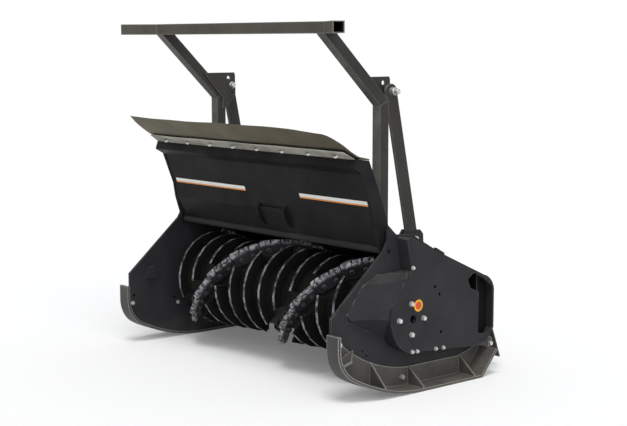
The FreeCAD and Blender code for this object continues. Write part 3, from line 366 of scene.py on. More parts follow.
TUBE_COLORS = (0.030, 0.0290, 0.0265), (0.046, 0.043, 0.038)
coated("head_paint", (0.0270, 0.0266, 0.0305), (0.0360, 0.0354, 0.0390), 0.5, wear=0.25, shine=0.06,
       wear_width=0.005, steel=(0.15, 0.15, 0.15), mud=0.3)
# The frame's tubes lighten their forward faces towards a pale colour, as painted light from the front.
coated("frame_paint", *TUBE_COLORS, 0.5, wear=0.5,
       steel=(0.30, 0.295, 0.275), painted_front_light=0.95, dust_and_front_light_color=(0.205, 0.200, 0.184))
coated("bar_paint", *TUBE_COLORS, 0.5, wear=0.7, wear_width=0.012,
       steel=(0.26, 0.255, 0.24), top_dust=0.5, painted_front_light=0.55)
# A darker copy of the head's paint for the gate: painted shade, as the gate leans down, and its strong mottling is
# painted reflection.
coated("gate_paint", (0.0080, 0.0079, 0.0092), (0.0165, 0.0163, 0.0180), 0.45, wear=0.15,
       steel=(0.09, 0.09, 0.095), top_dust=0.3, mud=0.2, shine=0.06)
# Near-black paint for the belt housing's divider and the chamber liner: painted shade of their recesses.
coated("recess_painted_shade", (0.0046, 0.0045, 0.0048), (0.0080, 0.0078, 0.0078), 0.6, wear=0.35,
       steel=(0.16, 0.16, 0.16), top_dust=0.3, mud=0.2, shine=0.05)
coated("skid_steel", (0.044, 0.044, 0.046), (0.074, 0.070, 0.062), 0.55, wear=0.85,
       wear_width=0.010, steel=(0.46, 0.45, 0.42), mud_height=0.3, bump=0.3, shine=0.3)
coated("bright_steel", (0.68, 0.68, 0.68), (0.50, 0.49, 0.47), 0.36, metal=0.7, wear=0.5,
       top_dust=0.2, mud=0.3, grain_scale=900.0, shine=0.5)
coated("rod_chrome", (0.72, 0.72, 0.74), (0.66, 0.66, 0.68), 0.12, metal=1.0, wear=0.1,
       top_dust=0.1, mud=0.0, bump=0.02, shine=0.5)
coated("clamp_paint", (0.46, 0.45, 0.385), (0.17, 0.163, 0.132), 0.6, wear=0.8, wear_width=0.003,
       steel=(0.62, 0.61, 0.56), top_dust=0.3, mud=0.0, bump=0.3, grain_scale=120.0, dents=1.0)
print("finishes:", sorted(finishes))

# %% [markdown]
# The rotor is dusty dark steel whose ring rims are ground bright by the wood.  A rim is recognised by
# its direction: its face looks straight away from the rotor's axis.  The same test works at any turn
# of the rotor, because it reads the piece's own directions and not the room's.

# %% Rotor steel with bright rims
def rotor_steel(name, base, shade, rim_start, rim_full, wear, facing=0.55, streaks=16.0, bright=(0.30, 0.30, 0.33)):
    """Dark steel that turns bright between two distances from the rotor's axis."""
    material = coated(name, base, shade, 0.6, metal=0.1, wear=wear, wear_width=0.005,
                      steel=(0.17, 0.17, 0.175), top_dust=0.06, mud=0.05, bump=0.4, shine=0.12, haze=0.02)
    tree = material.node_tree
    spot, looks = own_place(tree)
    arm = add_node(tree, "ShaderNodeMapping", {"Vector": spot, "Location": (0, -AXIS.y, -AXIS.z), "Scale": (0, 1, 1)},
                   vector_type="POINT").outputs["Vector"]
    length = add_node(tree, "ShaderNodeVectorMath", {0: arm}, operation="LENGTH").outputs["Value"]
    away = add_node(tree, "ShaderNodeVectorMath", {0: arm}, operation="NORMALIZE").outputs["Vector"]
    looks_out = step_up(tree, compare(tree, away, looks), facing, facing + 0.3)
    streak = step_up(tree, noise(tree, spot, streaks, 6.0, 0.7), 0.40, 0.62)
    rim = times(tree, times(tree, looks_out, step_up(tree, length, rim_start, rim_full)), streak, clamp=True)
    shader = tree.nodes["Principled BSDF"]
    old_color, old_metal = (shader.inputs[label].links[0].from_socket for label in ("Base Color", "Metallic"))
    set_inputs(tree, shader, {"Base Color": mix_color(tree, rim, old_color, bright),
                              "Metallic": math_node(tree, "MAXIMUM", old_metal, times(tree, rim, 0.5))})


rotor_steel("rotor_paint", (0.0060, 0.0058, 0.0058), (0.0110, 0.0100, 0.0088), 0.262, 0.300, 0.6)
rotor_steel("tooth_steel", (0.0085, 0.0085, 0.0095), (0.030, 0.030, 0.034), 0.340, 0.366, 0.95,
            facing=-0.9, streaks=34.0, bright=(0.46, 0.46, 0.49))
rotor_steel("holder_steel", (0.0060, 0.0058, 0.0058), (0.0120, 0.0110, 0.0098), 0.335, 0.365, 0.8,
            facing=-0.9, streaks=26.0, bright=(0.16, 0.16, 0.17))
print("the rings' rims and the teeth shine")

# %% [markdown]
# Rubber is matt and picks up grey dust that never quite washes off; its pale olive tone is partly that
# dust and partly painted light bounced up from the ground.  Fine moulding lines and small cuts give it
# its look.  Its colour grows darker and browner from the left end to the right end.

# %% Rubber
def no_metal(material):
    """Edges of rubber and film wear, but no steel comes out under them."""
    socket = material.node_tree.nodes["Principled BSDF"].inputs["Metallic"]
    material.node_tree.links.remove(socket.links[0])
    socket.default_value = 0.0
    return material


# The pale olive base is partly grey dust and partly painted light bounced up from the ground.
rubber = no_metal(coated("deflector_rubber", (0.105, 0.100, 0.080), (0.150, 0.142, 0.112), 0.78, wear=0.25,
                         wear_width=0.003, steel=(0.16, 0.155, 0.135), top_dust=0.5, mud=0.5, grain_scale=220.0,
                         dents=0.6, bump=0.3, shine=0.3))
tree = rubber.node_tree
shader = tree.nodes["Principled BSDF"]
# Lighter at the left end, darker and browner at the right end.
across = split(tree, own_place(tree)[0])["X"]
end_to_end_tone = mix_color(tree, step_up(tree, across, -1.0, 1.0), (1.15, 1.10, 0.98), (0.74, 0.68, 0.58))
old_color = shader.inputs["Base Color"].links[0].from_socket
set_inputs(tree, shader, {"Base Color": mix_color(tree, 1.0, old_color, end_to_end_tone, blend="MULTIPLY")})
print("rubber has", len(tree.nodes), "nodes")

# %% Dress the steel pieces
slot_of = {part["node"]: part["material_slot"] for part in frame["record"]["subparts"]}
# The divider and the chamber liner are painted near-black as painted shade of their recesses.
own_finish = {"belt_housing_divider": "recess_painted_shade", "chamber_liner": "recess_painted_shade", "tooth_holders": "holder_steel",
              "push_crossbar": "bar_paint", "push_wings": "bar_paint"}
for node, obj in frame["nodes"].items():
    finish = own_finish.get(node, slot_of[node])
    # The gate's pieces, all but the hinge pipe, take the darker copy of the head's paint as painted shade.
    if finish == "head_paint" and node.startswith("gate_") and node != "gate_hinge_pipe":
        finish = "gate_paint"
    obj.data.materials.clear()
    obj.data.materials.append(finishes[finish])
print("dressed", len(frame["nodes"]), "steel pieces in", len(set(slot_of.values())), "finishes")


# %% [markdown]
# ## Small helpers for new pieces
# A finished piece keeps its place in its mesh and its object at the origin, as the steel pieces do.
# Round things, from a boss to a film disc, are all turned from a profile, as on a lathe.  Film lies a
# tenth of a millimetre off the steel, so that the two faces don't flicker into each other.

# %% Put a mesh in the scene
def mesh_of(name, bm):
    mesh = bpy.data.meshes.new(name)
    bm.to_mesh(mesh)
    bm.free()
    return mesh


def piece(name, mesh, body, material_slot, material=None):
    obj = add_object(name, mesh)
    if not mesh.materials:
        mesh.materials.append(material or finishes[material_slot])
    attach(obj, body)
    return obj


def turned(name, blanks, sides, ring=False):
    """Turned bodies.  Each blank is an origin, a direction and a profile of (distance, radius) pairs."""
    bm = bmesh.new()
    turns = [2 * math.pi * k / sides for k in range(sides)]
    for origin, way, profile in blanks:
        turn = way.to_track_quat("Z", "Y").to_matrix().to_4x4()
        turn.translation = origin
        loops = [[bm.verts.new(turn @ Vector((r * math.cos(t), r * math.sin(t), h))) for t in turns]
                 for h, r in profile]
        for low, high in zip(loops, loops[1:] + (loops[:1] if ring else [])):
            for k in range(sides):
                bm.faces.new((low[k - 1], low[k], high[k], high[k - 1]))
        if not ring:
            bm.faces.new(loops[0][::-1])
            bm.faces.new(loops[-1])
    bmesh.ops.recalc_face_normals(bm, faces=bm.faces)
    return mesh_of(name, bm)


film_gap, film_t = 0.0001, 0.0004


def film_rounds(name, places, radius, material, inner=0.0, sides=24):
    """Thin discs lying on the steel, or rings where 'inner' leaves the middle open."""
    far = film_gap + film_t
    profile = [(film_gap, radius), (far, radius)] + ([(far, inner), (film_gap, inner)] if inner else [])
    mesh = turned(name, [(spot, normal, profile) for spot, normal in places], sides, ring=inner > 0)
    return piece(name, mesh, "head", "head_paint", material)


# %% [markdown]
# ## Rubber sheets
# The deflector is conveyor belting cut to length.  Its root lies on the gate's top rail and over the
# side plates; from the rail's lip it stands forward and curls up.  It is stiff enough to stand out, but
# its free edge waves a little, and at one end it sags and the corner is worn round.  A sheet is a grid
# laid along that profile, given its 10 mm thickness, with a small lift added that dies out towards the
# root.  A clamp bar or a flap is made by the same function, only narrower.

# %% Sheet along a profile
def sheet_mesh(name, spine, start, end, left, right, thick, lift=lambda x, s: 0.0, rows=28, columns=90):
    """A closed sheet.  spine(s) gives (Y, Z, angle) at the distance s; left(s) and right(s) are its sides."""
    bm = bmesh.new()
    top, under = [], []
    for j in range(rows + 1):
        s = start + (end - start) * j / rows
        y, z, angle = spine(s)
        up = Vector((0, math.sin(angle), math.cos(angle)))
        top_row, under_row = [], []
        for i in range(columns + 1):
            x = left(s) + (right(s) - left(s)) * i / columns
            middle = Vector((x, y, z)) + up * lift(x, s)
            top_row.append(bm.verts.new(middle + up * thick / 2))
            under_row.append(bm.verts.new(middle - up * thick / 2))
        top.append(top_row)
        under.append(under_row)
    for j in range(rows):
        for i in range(columns):
            bm.faces.new((top[j][i], top[j][i + 1], top[j + 1][i + 1], top[j + 1][i]))
            bm.faces.new((under[j][i], under[j + 1][i], under[j + 1][i + 1], under[j][i + 1]))
        for i, way in ((0, 1), (columns, -1)):
            rim = (top[j][i], top[j + 1][i], under[j + 1][i], under[j][i])
            bm.faces.new(rim[::way])
    for i in range(columns):
        for j, way in ((0, -1), (rows, 1)):
            rim = (top[j][i], top[j][i + 1], under[j][i + 1], under[j][i])
            bm.faces.new(rim[::way])
    bmesh.ops.recalc_face_normals(bm, faces=bm.faces)
    for edge in bm.edges:
        edge.smooth = len(edge.link_faces) < 2 or edge.calc_face_angle() < 0.6
    for face in bm.faces:
        face.smooth = True
    return mesh_of(name, bm)


def ease(value, low, high):
    """0 below 'low', 1 above 'high', smooth in between."""
    t = min(max((value - low) / (high - low), 0.0), 1.0)
    return t * t * (3 - 2 * t)


# %% Deflector
belt_t = 0.010
belt_length = 0.412
belt_rear = at(0, -0.2430, 1.5312)      # where the belting starts, on the rail
lip_back = at(0, -0.3298, 1.5490)       # where the rail's lip rises
belt_lean, belt_curl = math.radians(27), math.radians(15)
belt_flat = 0.145                       # the curl starts here
belt_low, belt_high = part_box("deflector_sheet")
belt_over = 0.024                       # how far it laps over each side plate


def belt_angle(s):
    """How steeply the belting climbs at the distance s from its root."""
    climb = math.atan2(lip_back.z - belt_rear.z, belt_rear.y - lip_back.y)
    first = (lip_back - belt_rear).length
    return (climb + (belt_lean - climb) * ease(s, first - 0.010, first + 0.012)
            + belt_curl * max(s - belt_flat, 0) / (belt_length - belt_flat))


belt_line = [belt_rear + Vector((0, 0, belt_t / 2 + 0.0008))]
for k in range(round(belt_length * 1000)):
    a = belt_angle((k + 0.5) / 1000)
    belt_line.append(belt_line[-1] + Vector((0, -math.cos(a), math.sin(a))) * 0.001)


def belt_spine(s):
    k = min(int(s * 1000), len(belt_line) - 2)
    spot = belt_line[k].lerp(belt_line[k + 1], s * 1000 - k)
    return spot.y, spot.z, -belt_angle(s)


def belt_lift(x, s):
    free = ease(s, 0.16, belt_length) * (s / belt_length)
    wave = 0.003 * math.sin(4.4 * x + 0.6) + 0.002 * math.sin(11.0 * x + 2.0)
    curled_end = 0.012 * ease(x, 0.80, 1.12) * math.sin(math.pi * ease(s, 0.12, belt_length))
    sagging_corner = -0.032 * ease(x, 0.70, 1.13) * ease(s, 0.22, belt_length)
    left_end = 0.008 * ease(-x, 0.7, 1.1) * free
    return wave * free + curled_end + sagging_corner + left_end


def belt_right(s):
    worn = min(max(s - (belt_length - 0.085), 0.0), 0.0845)
    return belt_high.x + belt_over - (0.085 - math.sqrt(0.085 ** 2 - worn ** 2))


def belt_left(s):
    return belt_low.x - belt_over * (1 - ease(s, 0.09, 0.12)) + 0.012 * ease(s, 0.34, belt_length)


belt = piece("deflector_belt", sheet_mesh("deflector_belt", belt_spine, 0.0, belt_length, belt_left, belt_right,
                                          belt_t, belt_lift, rows=36), "gate", "deflector_rubber")
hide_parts("deflector_sheet")

# %% [markdown]
# Under the rail's lip a flat bar takes the bolts that hold the belting.  It has been bent and knocked in
# use, so its edge is no longer straight, and its paint is worn and pale.

# %% Clamp bar
clamp_t = 0.009
clamp_depth = 0.112


def clamp_spine(s):
    y = belt_high.y - 0.003 - s * math.cos(belt_lean)
    z = belt_low.z + 0.0104 + s * math.sin(belt_lean)
    down = clamp_t / 2 + 0.0006
    return y + math.sin(belt_lean) * down, z - math.cos(belt_lean) * down, -belt_lean


def clamp_lift(x, s):
    return -0.0020 * ease(s, 0.045, clamp_depth) * (1 + math.sin(11.0 * x) * math.sin(3.1 * x + 1.0))


clamp_mesh = sheet_mesh("clamp_bar", clamp_spine, 0.0, clamp_depth,
                        lambda s: belt_low.x + 0.004 + 0.034 * ease(s, 0.02, 0.1), lambda s: belt_high.x - 0.002,
                        clamp_t, clamp_lift, rows=8, columns=120)
clamp = piece("clamp_bar", clamp_mesh, "gate", "skid_steel", finishes["clamp_paint"])
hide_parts("deflector_clamp_bar")
print("clamp bar", round(clamp_depth * 1000), "mm deep")

# %% [markdown]
# At the back a rubber curtain hangs from its rail and keeps chips off the carrier.  It is cut into flaps
# so that a stump can push through, and no two flaps hang quite alike.

# %% Rear curtain
drape_low, drape_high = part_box("rear_curtain")
drape_t = 0.010
drape_top = Vector((0, drape_low.y + drape_t / 2, drape_high.z - 0.004))
drape_foot = Vector((0, drape_high.y - drape_t / 2, drape_low.z + 0.004))
drape_length = (drape_foot - drape_top).length
drape_lean = math.atan2(drape_foot.y - drape_top.y, drape_top.z - drape_foot.z)
flaps = 8
flap_gap = 0.004


def drape_spine(s):
    return (drape_top.y + s * math.sin(drape_lean), drape_top.z - s * math.cos(drape_lean), math.pi / 2 - drape_lean)


def joined(name, meshes):
    """One mesh out of several."""
    bm = bmesh.new()
    for mesh in meshes:
        bm.from_mesh(mesh)
        bpy.data.meshes.remove(mesh)
    return mesh_of(name, bm)


flap_width = (drape_high.x - drape_low.x + flap_gap) / flaps
parts = []
for k in range(flaps):
    x0 = drape_low.x + flap_width * k
    x1 = x0 + flap_width - flap_gap
    swing = 0.005 * math.sin(2.3 * k + 0.5)
    parts.append(sheet_mesh(f"flap_{k}", drape_spine, 0.0, drape_length, lambda s, a=x0: a, lambda s, b=x1: b,
                            drape_t - 0.001, lambda x, s, w=swing: w * ease(s, 0.06, drape_length),
                            rows=10, columns=6))
curtain = piece("curtain_flaps", joined("curtain_flaps", parts), "head", "deflector_rubber")
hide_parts("rear_curtain")
print(flaps, "flaps of", round(drape_length, 3), "m")

# %% [markdown]
# ## Elbow plates
# Each brace is pinned to a plate on the inner side of its upright's elbow.  The brace lies in the
# tube's own plane, and a long round boss on the pin keeps it there.

# %% Elbow plates
def islands_of(name, node, wanted):
    """A copy of a steel piece with only the separate bodies whose middle passes the test."""
    bm = bmesh.new()
    bm.from_mesh(frame["nodes"][node].data)
    left = set(bm.verts)
    dropped = []
    while left:
        island, edge = [], [left.pop()]
        while edge:
            vert = edge.pop()
            island.append(vert)
            for line in vert.link_edges:
                other = line.other_vert(vert)
                if other in left:
                    left.remove(other)
                    edge.append(other)
        middle = sum((v.co for v in island), Vector()) / len(island)
        if not wanted(middle):
            dropped += island
    bmesh.ops.delete(bm, geom=dropped, context="VERTS")
    mesh = mesh_of(name, bm)
    mesh.materials.clear()
    return mesh


inner_plates = islands_of("elbow_plates", "brace_brackets", lambda c: abs(c.x) < frame_half)
elbow_plates = piece("elbow_plates", inner_plates, "head", "frame_paint")
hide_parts("brace_brackets")
print("elbow plates:", len(elbow_plates.data.polygons), "faces")

# %% [markdown]
# ## Bolts
# A hexagon bolt is a washer and a six-sided head with its corners turned off, and there are about a
# hundred of them.  Copying one by hand would be tedious and hard to change.  A Geometry Nodes tree
# instead takes a cloud of marked points and stands one bolt on each, turned to face the way the steel
# faces.  The width across the head is an input, so one tree serves every size.

# %% Bolt tree
def tree_with(name, inputs):
    """A Geometry Nodes tree, the identifiers of its inputs, and its two ends."""
    tree = bpy.data.node_groups.new(name, "GeometryNodeTree")
    tree.interface.new_socket("Geometry", in_out="INPUT", socket_type="NodeSocketGeometry")
    made = {}
    for label, (kind, value) in {**inputs, "Material": ("NodeSocketMaterial", None)}.items():
        socket = tree.interface.new_socket(label, in_out="INPUT", socket_type=kind)
        if value is not None:
            socket.default_value = value
        made[label] = socket.identifier
    tree.interface.new_socket("Geometry", in_out="OUTPUT", socket_type="NodeSocketGeometry")
    return tree, made, tree.nodes.new("NodeGroupInput").outputs, tree.nodes.new("NodeGroupOutput")


def close_tree(tree, geometry, given, result):
    """Real faces in the given material come out of the tree."""
    real = add_node(tree, "GeometryNodeRealizeInstances", {0: geometry})
    paint = add_node(tree, "GeometryNodeSetMaterial", {"Geometry": real.outputs[0], "Material": given["Material"]})
    set_inputs(tree, result, {0: paint.outputs[0]})
    print(tree.name, "has", len(tree.nodes), "nodes")


bolt_tree, bolt_inputs, given, result = tree_with("hexagon_bolts", {
    "Across": (FLOAT, 0.024), "Height": (FLOAT, 0.014), "Washer": (FLOAT, 0.020), "Seed": ("NodeSocketInt", 3)})


def cone(sides, bottom, top, depth, lift):
    """A short cone standing on the ground, from lift up to lift + depth."""
    shape = add_node(bolt_tree, "GeometryNodeMeshCone",
                     {"Vertices": sides, "Radius Bottom": bottom, "Radius Top": top, "Depth": depth})
    where = add_node(bolt_tree, "ShaderNodeCombineXYZ", {"Z": lift})
    return add_node(bolt_tree, "GeometryNodeTransform", {
        "Geometry": shape.outputs["Mesh"], "Translation": where.outputs["Vector"]}).outputs["Geometry"]


corner = times(bolt_tree, given["Across"], 0.5774)     # from a hexagon's middle to its corner
washer_t = times(bolt_tree, given["Across"], 0.12)
chamfer = times(bolt_tree, given["Height"], 0.22)
shank = minus(bolt_tree, given["Height"], chamfer)
join = add_node(bolt_tree, "GeometryNodeJoinGeometry")
for shape in (cone(16, given["Washer"], times(bolt_tree, given["Washer"], 0.96), washer_t, 0.0),
              cone(6, corner, corner, shank, washer_t),
              cone(6, corner, times(bolt_tree, corner, 0.82), chamfer, plus(bolt_tree, washer_t, shank))):
    bolt_tree.links.new(shape, join.inputs[0])
named = add_node(bolt_tree, "GeometryNodeInputNamedAttribute", {"Name": "facing"}, data_type="FLOAT_VECTOR")
align = add_node(bolt_tree, "FunctionNodeAlignRotationToVector", {"Vector": named.outputs["Attribute"]}, axis="Z")
spin = add_node(bolt_tree, "FunctionNodeRandomValue", {3: 1.05, "Seed": given["Seed"]}, data_type="FLOAT")
turn = add_node(bolt_tree, "FunctionNodeAxisAngleToRotation", {"Axis": (0, 0, 1), "Angle": spin.outputs[1]})
rotate = add_node(bolt_tree, "FunctionNodeRotateRotation", {
    "Rotation": align.outputs["Rotation"], "Rotate By": turn.outputs["Rotation"]}, rotation_space="LOCAL")
stand = add_node(bolt_tree, "GeometryNodeInstanceOnPoints", {
    "Points": given["Geometry"], "Instance": join.outputs[0], "Rotation": rotate.outputs["Rotation"]})
close_tree(bolt_tree, stand.outputs["Instances"], given, result)


# %% From marked points to a mesh
def grow(name, mesh, tree, inputs, values, body, material_slot):
    """Runs a tree on a mesh of marked points, and keeps the result as a plain piece."""
    seedling = add_object(name + "_points", mesh)
    modifier = seedling.modifiers.new("grow", "NODES")
    modifier.node_group = tree
    for label, value in values.items():
        modifier[inputs[label]] = value
    depsgraph = bpy.context.evaluated_depsgraph_get()
    grown = bpy.data.meshes.new_from_object(seedling.evaluated_get(depsgraph), depsgraph=depsgraph)
    grown.name = name
    bpy.data.objects.remove(seedling)
    return piece(name, grown, body, material_slot, values.get("Material"))


def marked_points(name, places):
    mesh = bpy.data.meshes.new(name)
    mesh.from_pydata([spot for spot, _ in places], [], [])
    facing = mesh.attributes.new("facing", "FLOAT_VECTOR", "POINT")
    for item, (_, direction) in zip(facing.data, places):
        item.vector = direction
    return mesh


def bolts(name, body, places, across, height, washer=None, slot="bright_steel"):
    values = {"Across": across, "Height": height, "Washer": washer or across * 0.78, "Material": finishes[slot]}
    made = grow(name, marked_points(name, places), bolt_tree, bolt_inputs, values, body, slot)
    print(name, len(places), "bolts,", len(made.data.polygons), "faces")


LARGE = 0.030, 0.018        # width across and height of the largest bolts


# %% [markdown]
# The belt housing is closed by a flat cover.  Four large bright bolts round the shaft's end are the
# first thing the eye finds; smaller ones hold the cover's edge.

# %% Belt housing bolts
def on_cover(y, z):
    return seat("belt_housing_cover", at(cover_face + 0.3, y, z), (-1, 0, 0))


bolts("housing_large_bolts", "head", [on_cover(y, z) for y, z in
      ((0.005, 0.585), (-0.105, 0.486), (0.119, 0.476), (0.008, 0.379))], *LARGE, washer=0.019)
bolts("housing_edge_bolts", "head", [on_cover(y, z) for y, z in
      ((0.017, 0.262), (0.063, 0.260), (0.239, 0.252), (0.311, 0.249), (0.019, 0.822))],
      0.021, 0.012, washer=0.015)

# %% [markdown]
# A few tapped holes are left empty.  At this size an empty hole is only a black round spot, the shade
# inside it, so each is a thin dark disc of painted shade laid on the steel, and a thin dark ring of
# painted shade lies round the grease hole in the hub.

# %% Empty holes as painted shade
# Near-black paint that stands in for the shade inside empty holes.
hole_shade_paint, tree, shader = new_material("painted_hole_shade")
set_inputs(tree, shader, {
    "Roughness": 0.9, "Specular IOR Level": 0.02,
    "Base Color": mix_color(tree, noise(tree, own_place(tree)[0], 300.0),
                            (0.0012, 0.0012, 0.0012), (0.0030, 0.0029, 0.0028))})
cover_spots = [on_cover(y, z) for y, z in ((0.227, 0.675), (0.271, 0.619), (0.290, 0.361))]
plate_spots = [seat("end_plate_right", at(2.0, y, z), (-1, 0, 0)) for y, z in ((-0.330, 0.300), (-0.300, 0.265))]
film_rounds("cover_hole_shades", cover_spots, 0.0105, hole_shade_paint)
film_rounds("end_plate_hole_shades", plate_spots, 0.0065, hole_shade_paint)
hub_centre = at(on_cover(0.060, 0.480)[0].x, 0.024, 0.480)
film_rounds("hub_hole_shade_ring", [(hub_centre, Vector((1, 0, 0)))], 0.027, hole_shade_paint, inner=0.0185)
print("empty holes:", len(cover_spots) + len(plate_spots), "and a rim round the grease hole")

# %% [markdown]
# Round the left end of the rotor the bearing is bolted to the end plate in the same way.

# %% Bearing bolts
ring_r = 0.138
ring = []
for k in range(8):
    a = math.radians(22.5 + 45 * k)
    ring.append(seat("bearing_housings", at(-2.0, ring_r * math.cos(a), AXIS.z + ring_r * math.sin(a)), (1, 0, 0)))
bolts("bearing_bolts", "head", ring, *LARGE)

# %% Clamp bar bolts
clamp_first, clamp_step = -0.912, 0.270
y, z, angle = clamp_spine(0.068)
away = Vector((0, -math.sin(angle), -math.cos(angle)))
places = [(Vector((clamp_first + clamp_step * k, y, z)) + away * clamp_t / 2, away) for k in range(8)]
bolts("clamp_bolts", "gate", places, *LARGE)

# %% [markdown]
# Every tooth is held to its wedge by two bolts through its front face.  The teeth stand on two broken
# screw threads, so a bolt's place follows from the tooth's station: along the rotor, and round it.

# %% Tooth bolts
stations, pitch = 12, 0.160
first_turn, turn_step = 144.3, -27.7
drum_r, tip_r, bolt_r = 0.250, 0.380, 0.305
skew = math.atan2((drum_r + tip_r) / 2 * math.radians(-turn_step), pitch)
places = []
for k in range(stations):
    for half_turn in (0, 180):
        round_axis = Matrix.Rotation(math.radians(first_turn + k * turn_step + half_turn), 4, "X")
        along = round_axis @ Vector((math.cos(skew), math.sin(skew), 0))
        ahead = round_axis @ Vector((math.sin(skew), -math.cos(skew), 0))
        outward = round_axis @ Vector((0, 0, 1))
        middle = Vector((pitch * (k - (stations - 1) / 2), AXIS.y, AXIS.z))
        for shift in (-0.048, 0.048):
            start = middle + outward * bolt_r + along * shift + ahead * 0.12
            places.append(seat("cutter_teeth", start, -ahead))
bolts("tooth_bolts", "rotor", places, 0.028, 0.012, washer=0.018, slot="tooth_steel")

# %% Frame foot bolts
foot_low, foot_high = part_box("push_frame_feet")
places = []
for side in (-1, 1):
    for dx in (-0.062, 0.062):
        for y in (foot_low.y + 0.02, foot_high.y - 0.02):
            places.append(seat("push_frame_feet", (side * frame_half + dx, y, foot_high.z + 0.2), (0, 0, -1)))
bolts("frame_foot_bolts", "head", places, *LARGE)

# %% [markdown]
# The pins of the braces end in a large nut on each side.  Where a pin stands far out, a round boss
# fills the length between the steel and the nut.

# %% Pin nuts and bosses
high_pin, low_pin = (0.160, 1.961), (0.372, 0.945)
nuts, bosses = [], []
for side in (-1, 1):
    for y, z in (high_pin, low_pin):
        for way in (-1, 1):
            nuts.append(seat("brace_pins", at(side * frame_half + way * 0.3, y, z), (-way, 0, 0)))
    bosses.append((at(side * (frame_half + 0.0105), *high_pin), Vector((side, 0, 0)), 0.040))
    bosses.append((at(side * (frame_half - tube / 2 - 0.0125), *high_pin), Vector((-side, 0, 0)), 0.010))
bolts("brace_pin_nuts", "head", nuts, 0.036, 0.012, washer=0.022)
boss_r, boss_edge = 0.026, 0.003
boss_blanks = [(spot, way, [(0, boss_r), (length - boss_edge, boss_r), (length, boss_r - boss_edge)])
               for spot, way, length in bosses]
piece("pin_bosses", turned("pin_bosses", boss_blanks, 28), "head", "bright_steel")
print(len(bosses), "bosses on the long pins")

# %% [markdown]
# ## Gate cylinder
# The barrel ends in a gland nut round the rod, and two steel ports stand on it for
# the hoses, which are taken off while the head is in store.  The ports face up and back, away from the
# gate.

# %% Gland and ports
barrel_low, barrel_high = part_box("cylinder_barrel")
barrel_x = (barrel_low.x + barrel_high.x) / 2
base_eye = Vector((barrel_x, *joints["barrel_swing"]["pos_m"][1:]))
stroke_way = Vector(joints["rod_slide"]["axis"]).normalized()
beside_rod = base_eye + stroke_way * 0.60 + Vector((0.034, 0, 0))
front_face = seat("cylinder_barrel", beside_rod, -stroke_way)[0]
mouth_reach = (front_face - base_eye).dot(stroke_way)
mouth = base_eye + stroke_way * mouth_reach
gland = [(mouth, stroke_way, [(0.0003, 0.0262), (0.0003, 0.044), (0.010, 0.044), (0.013, 0.041), (0.013, 0.0262)])]
piece("cylinder_gland", turned("cylinder_gland", gland, 32, ring=True), "cylinder_barrel_body", "head_paint",
      finishes["skid_steel"])
port_way = Vector((0, -stroke_way.z, stroke_way.y))
port_way *= 1 if port_way.z > 0 else -1
port_profile = [(0.0, 0.0005), (0.0, 0.016), (0.016, 0.016), (0.018, 0.013), (0.034, 0.013), (0.034, 0.0005)]
ports = []
for reach in (0.085, mouth_reach - 0.045):
    spot = seat("cylinder_barrel", base_eye + stroke_way * reach + port_way * 0.2, -port_way)[0]
    ports.append((spot - port_way * 0.004, port_way, port_profile))
piece("cylinder_ports", turned("cylinder_ports", ports, 18, ring=True), "cylinder_barrel_body", "bright_steel")
print("gland at", [round(v, 3) for v in mouth], "and", len(ports), "ports")

# %% [markdown]
# The skid shoes and the wear blocks are bolted on so that they can be changed.  Their heads are worn
# bright by the ground.

# %% Shoe and end plate bolts
sides = ((-1, "left"), (1, "right"))
places = [seat(f"skid_shoe_{hand}", at(side * 1.60, y, z), (-side, 0, 0))
          for y, z in ((-0.552, 0.377), (0.010, 0.079), (0.878, 0.183)) for side, hand in sides]
bolts("shoe_bolts", "head", places, *LARGE, washer=0.019)


def on_end_plates(spots):
    """Places on the inner faces of both end plates."""
    return [seat(f"end_plate_{hand}", at(side * 1.0, y, z), (side, 0, 0)) for side, hand in sides for y, z in spots]


bolts("wear_block_bolts", "head", on_end_plates([(-0.578, 0.316), (-0.159, 0.273)]), 0.022, 0.012)
# Dark discs of painted shade mark the empty holes by the wear blocks.
film_rounds("wear_block_hole_shades", on_end_plates([(-0.566, 0.374), (-0.195, 0.318)]), 0.010, hole_shade_paint)

# %% [markdown]
# ## Weld beads
# The frame and the gate are welded from tube and plate.  A bead is a thin rod drawn along the seam and
# made uneven, as the molten steel freezes in ripples.  The Geometry Nodes tree takes plain edges as its
# seams; its inputs are the bead's radius and the size of its ripples.

# %% Weld tree
weld_tree, weld_inputs, given, result = tree_with("weld_beads", {
    "Radius": (FLOAT, 0.004), "Ripple": (FLOAT, 0.35), "Step": (FLOAT, 0.007)})
to_curve = add_node(weld_tree, "GeometryNodeMeshToCurve", {"Mesh": given["Geometry"]})
even = add_node(weld_tree, "GeometryNodeResampleCurve", {"Curve": to_curve.outputs["Curve"], "Length": given["Step"]},
                mode="LENGTH")
rod = add_node(weld_tree, "GeometryNodeCurvePrimitiveCircle", {"Resolution": 7, "Radius": given["Radius"]})
sweep = add_node(weld_tree, "GeometryNodeCurveToMesh", {
    "Fill Caps": True, "Curve": even.outputs["Curve"], "Profile Curve": rod.outputs["Curve"]})
ripple = add_node(weld_tree, "ShaderNodeTexNoise", {"Scale": 90.0}).outputs["Fac"]
size = times(weld_tree, minus(weld_tree, ripple, 0.5), times(weld_tree, given["Radius"], given["Ripple"]))
away = add_node(weld_tree, "GeometryNodeInputNormal").outputs["Normal"]
shift = add_node(weld_tree, "ShaderNodeVectorMath", {0: away, "Scale": times(weld_tree, size, 4.0)}, operation="SCALE")
move = add_node(weld_tree, "GeometryNodeSetPosition", {
    "Geometry": sweep.outputs["Mesh"], "Offset": shift.outputs["Vector"]})
close_tree(weld_tree, move.outputs["Geometry"], given, result)


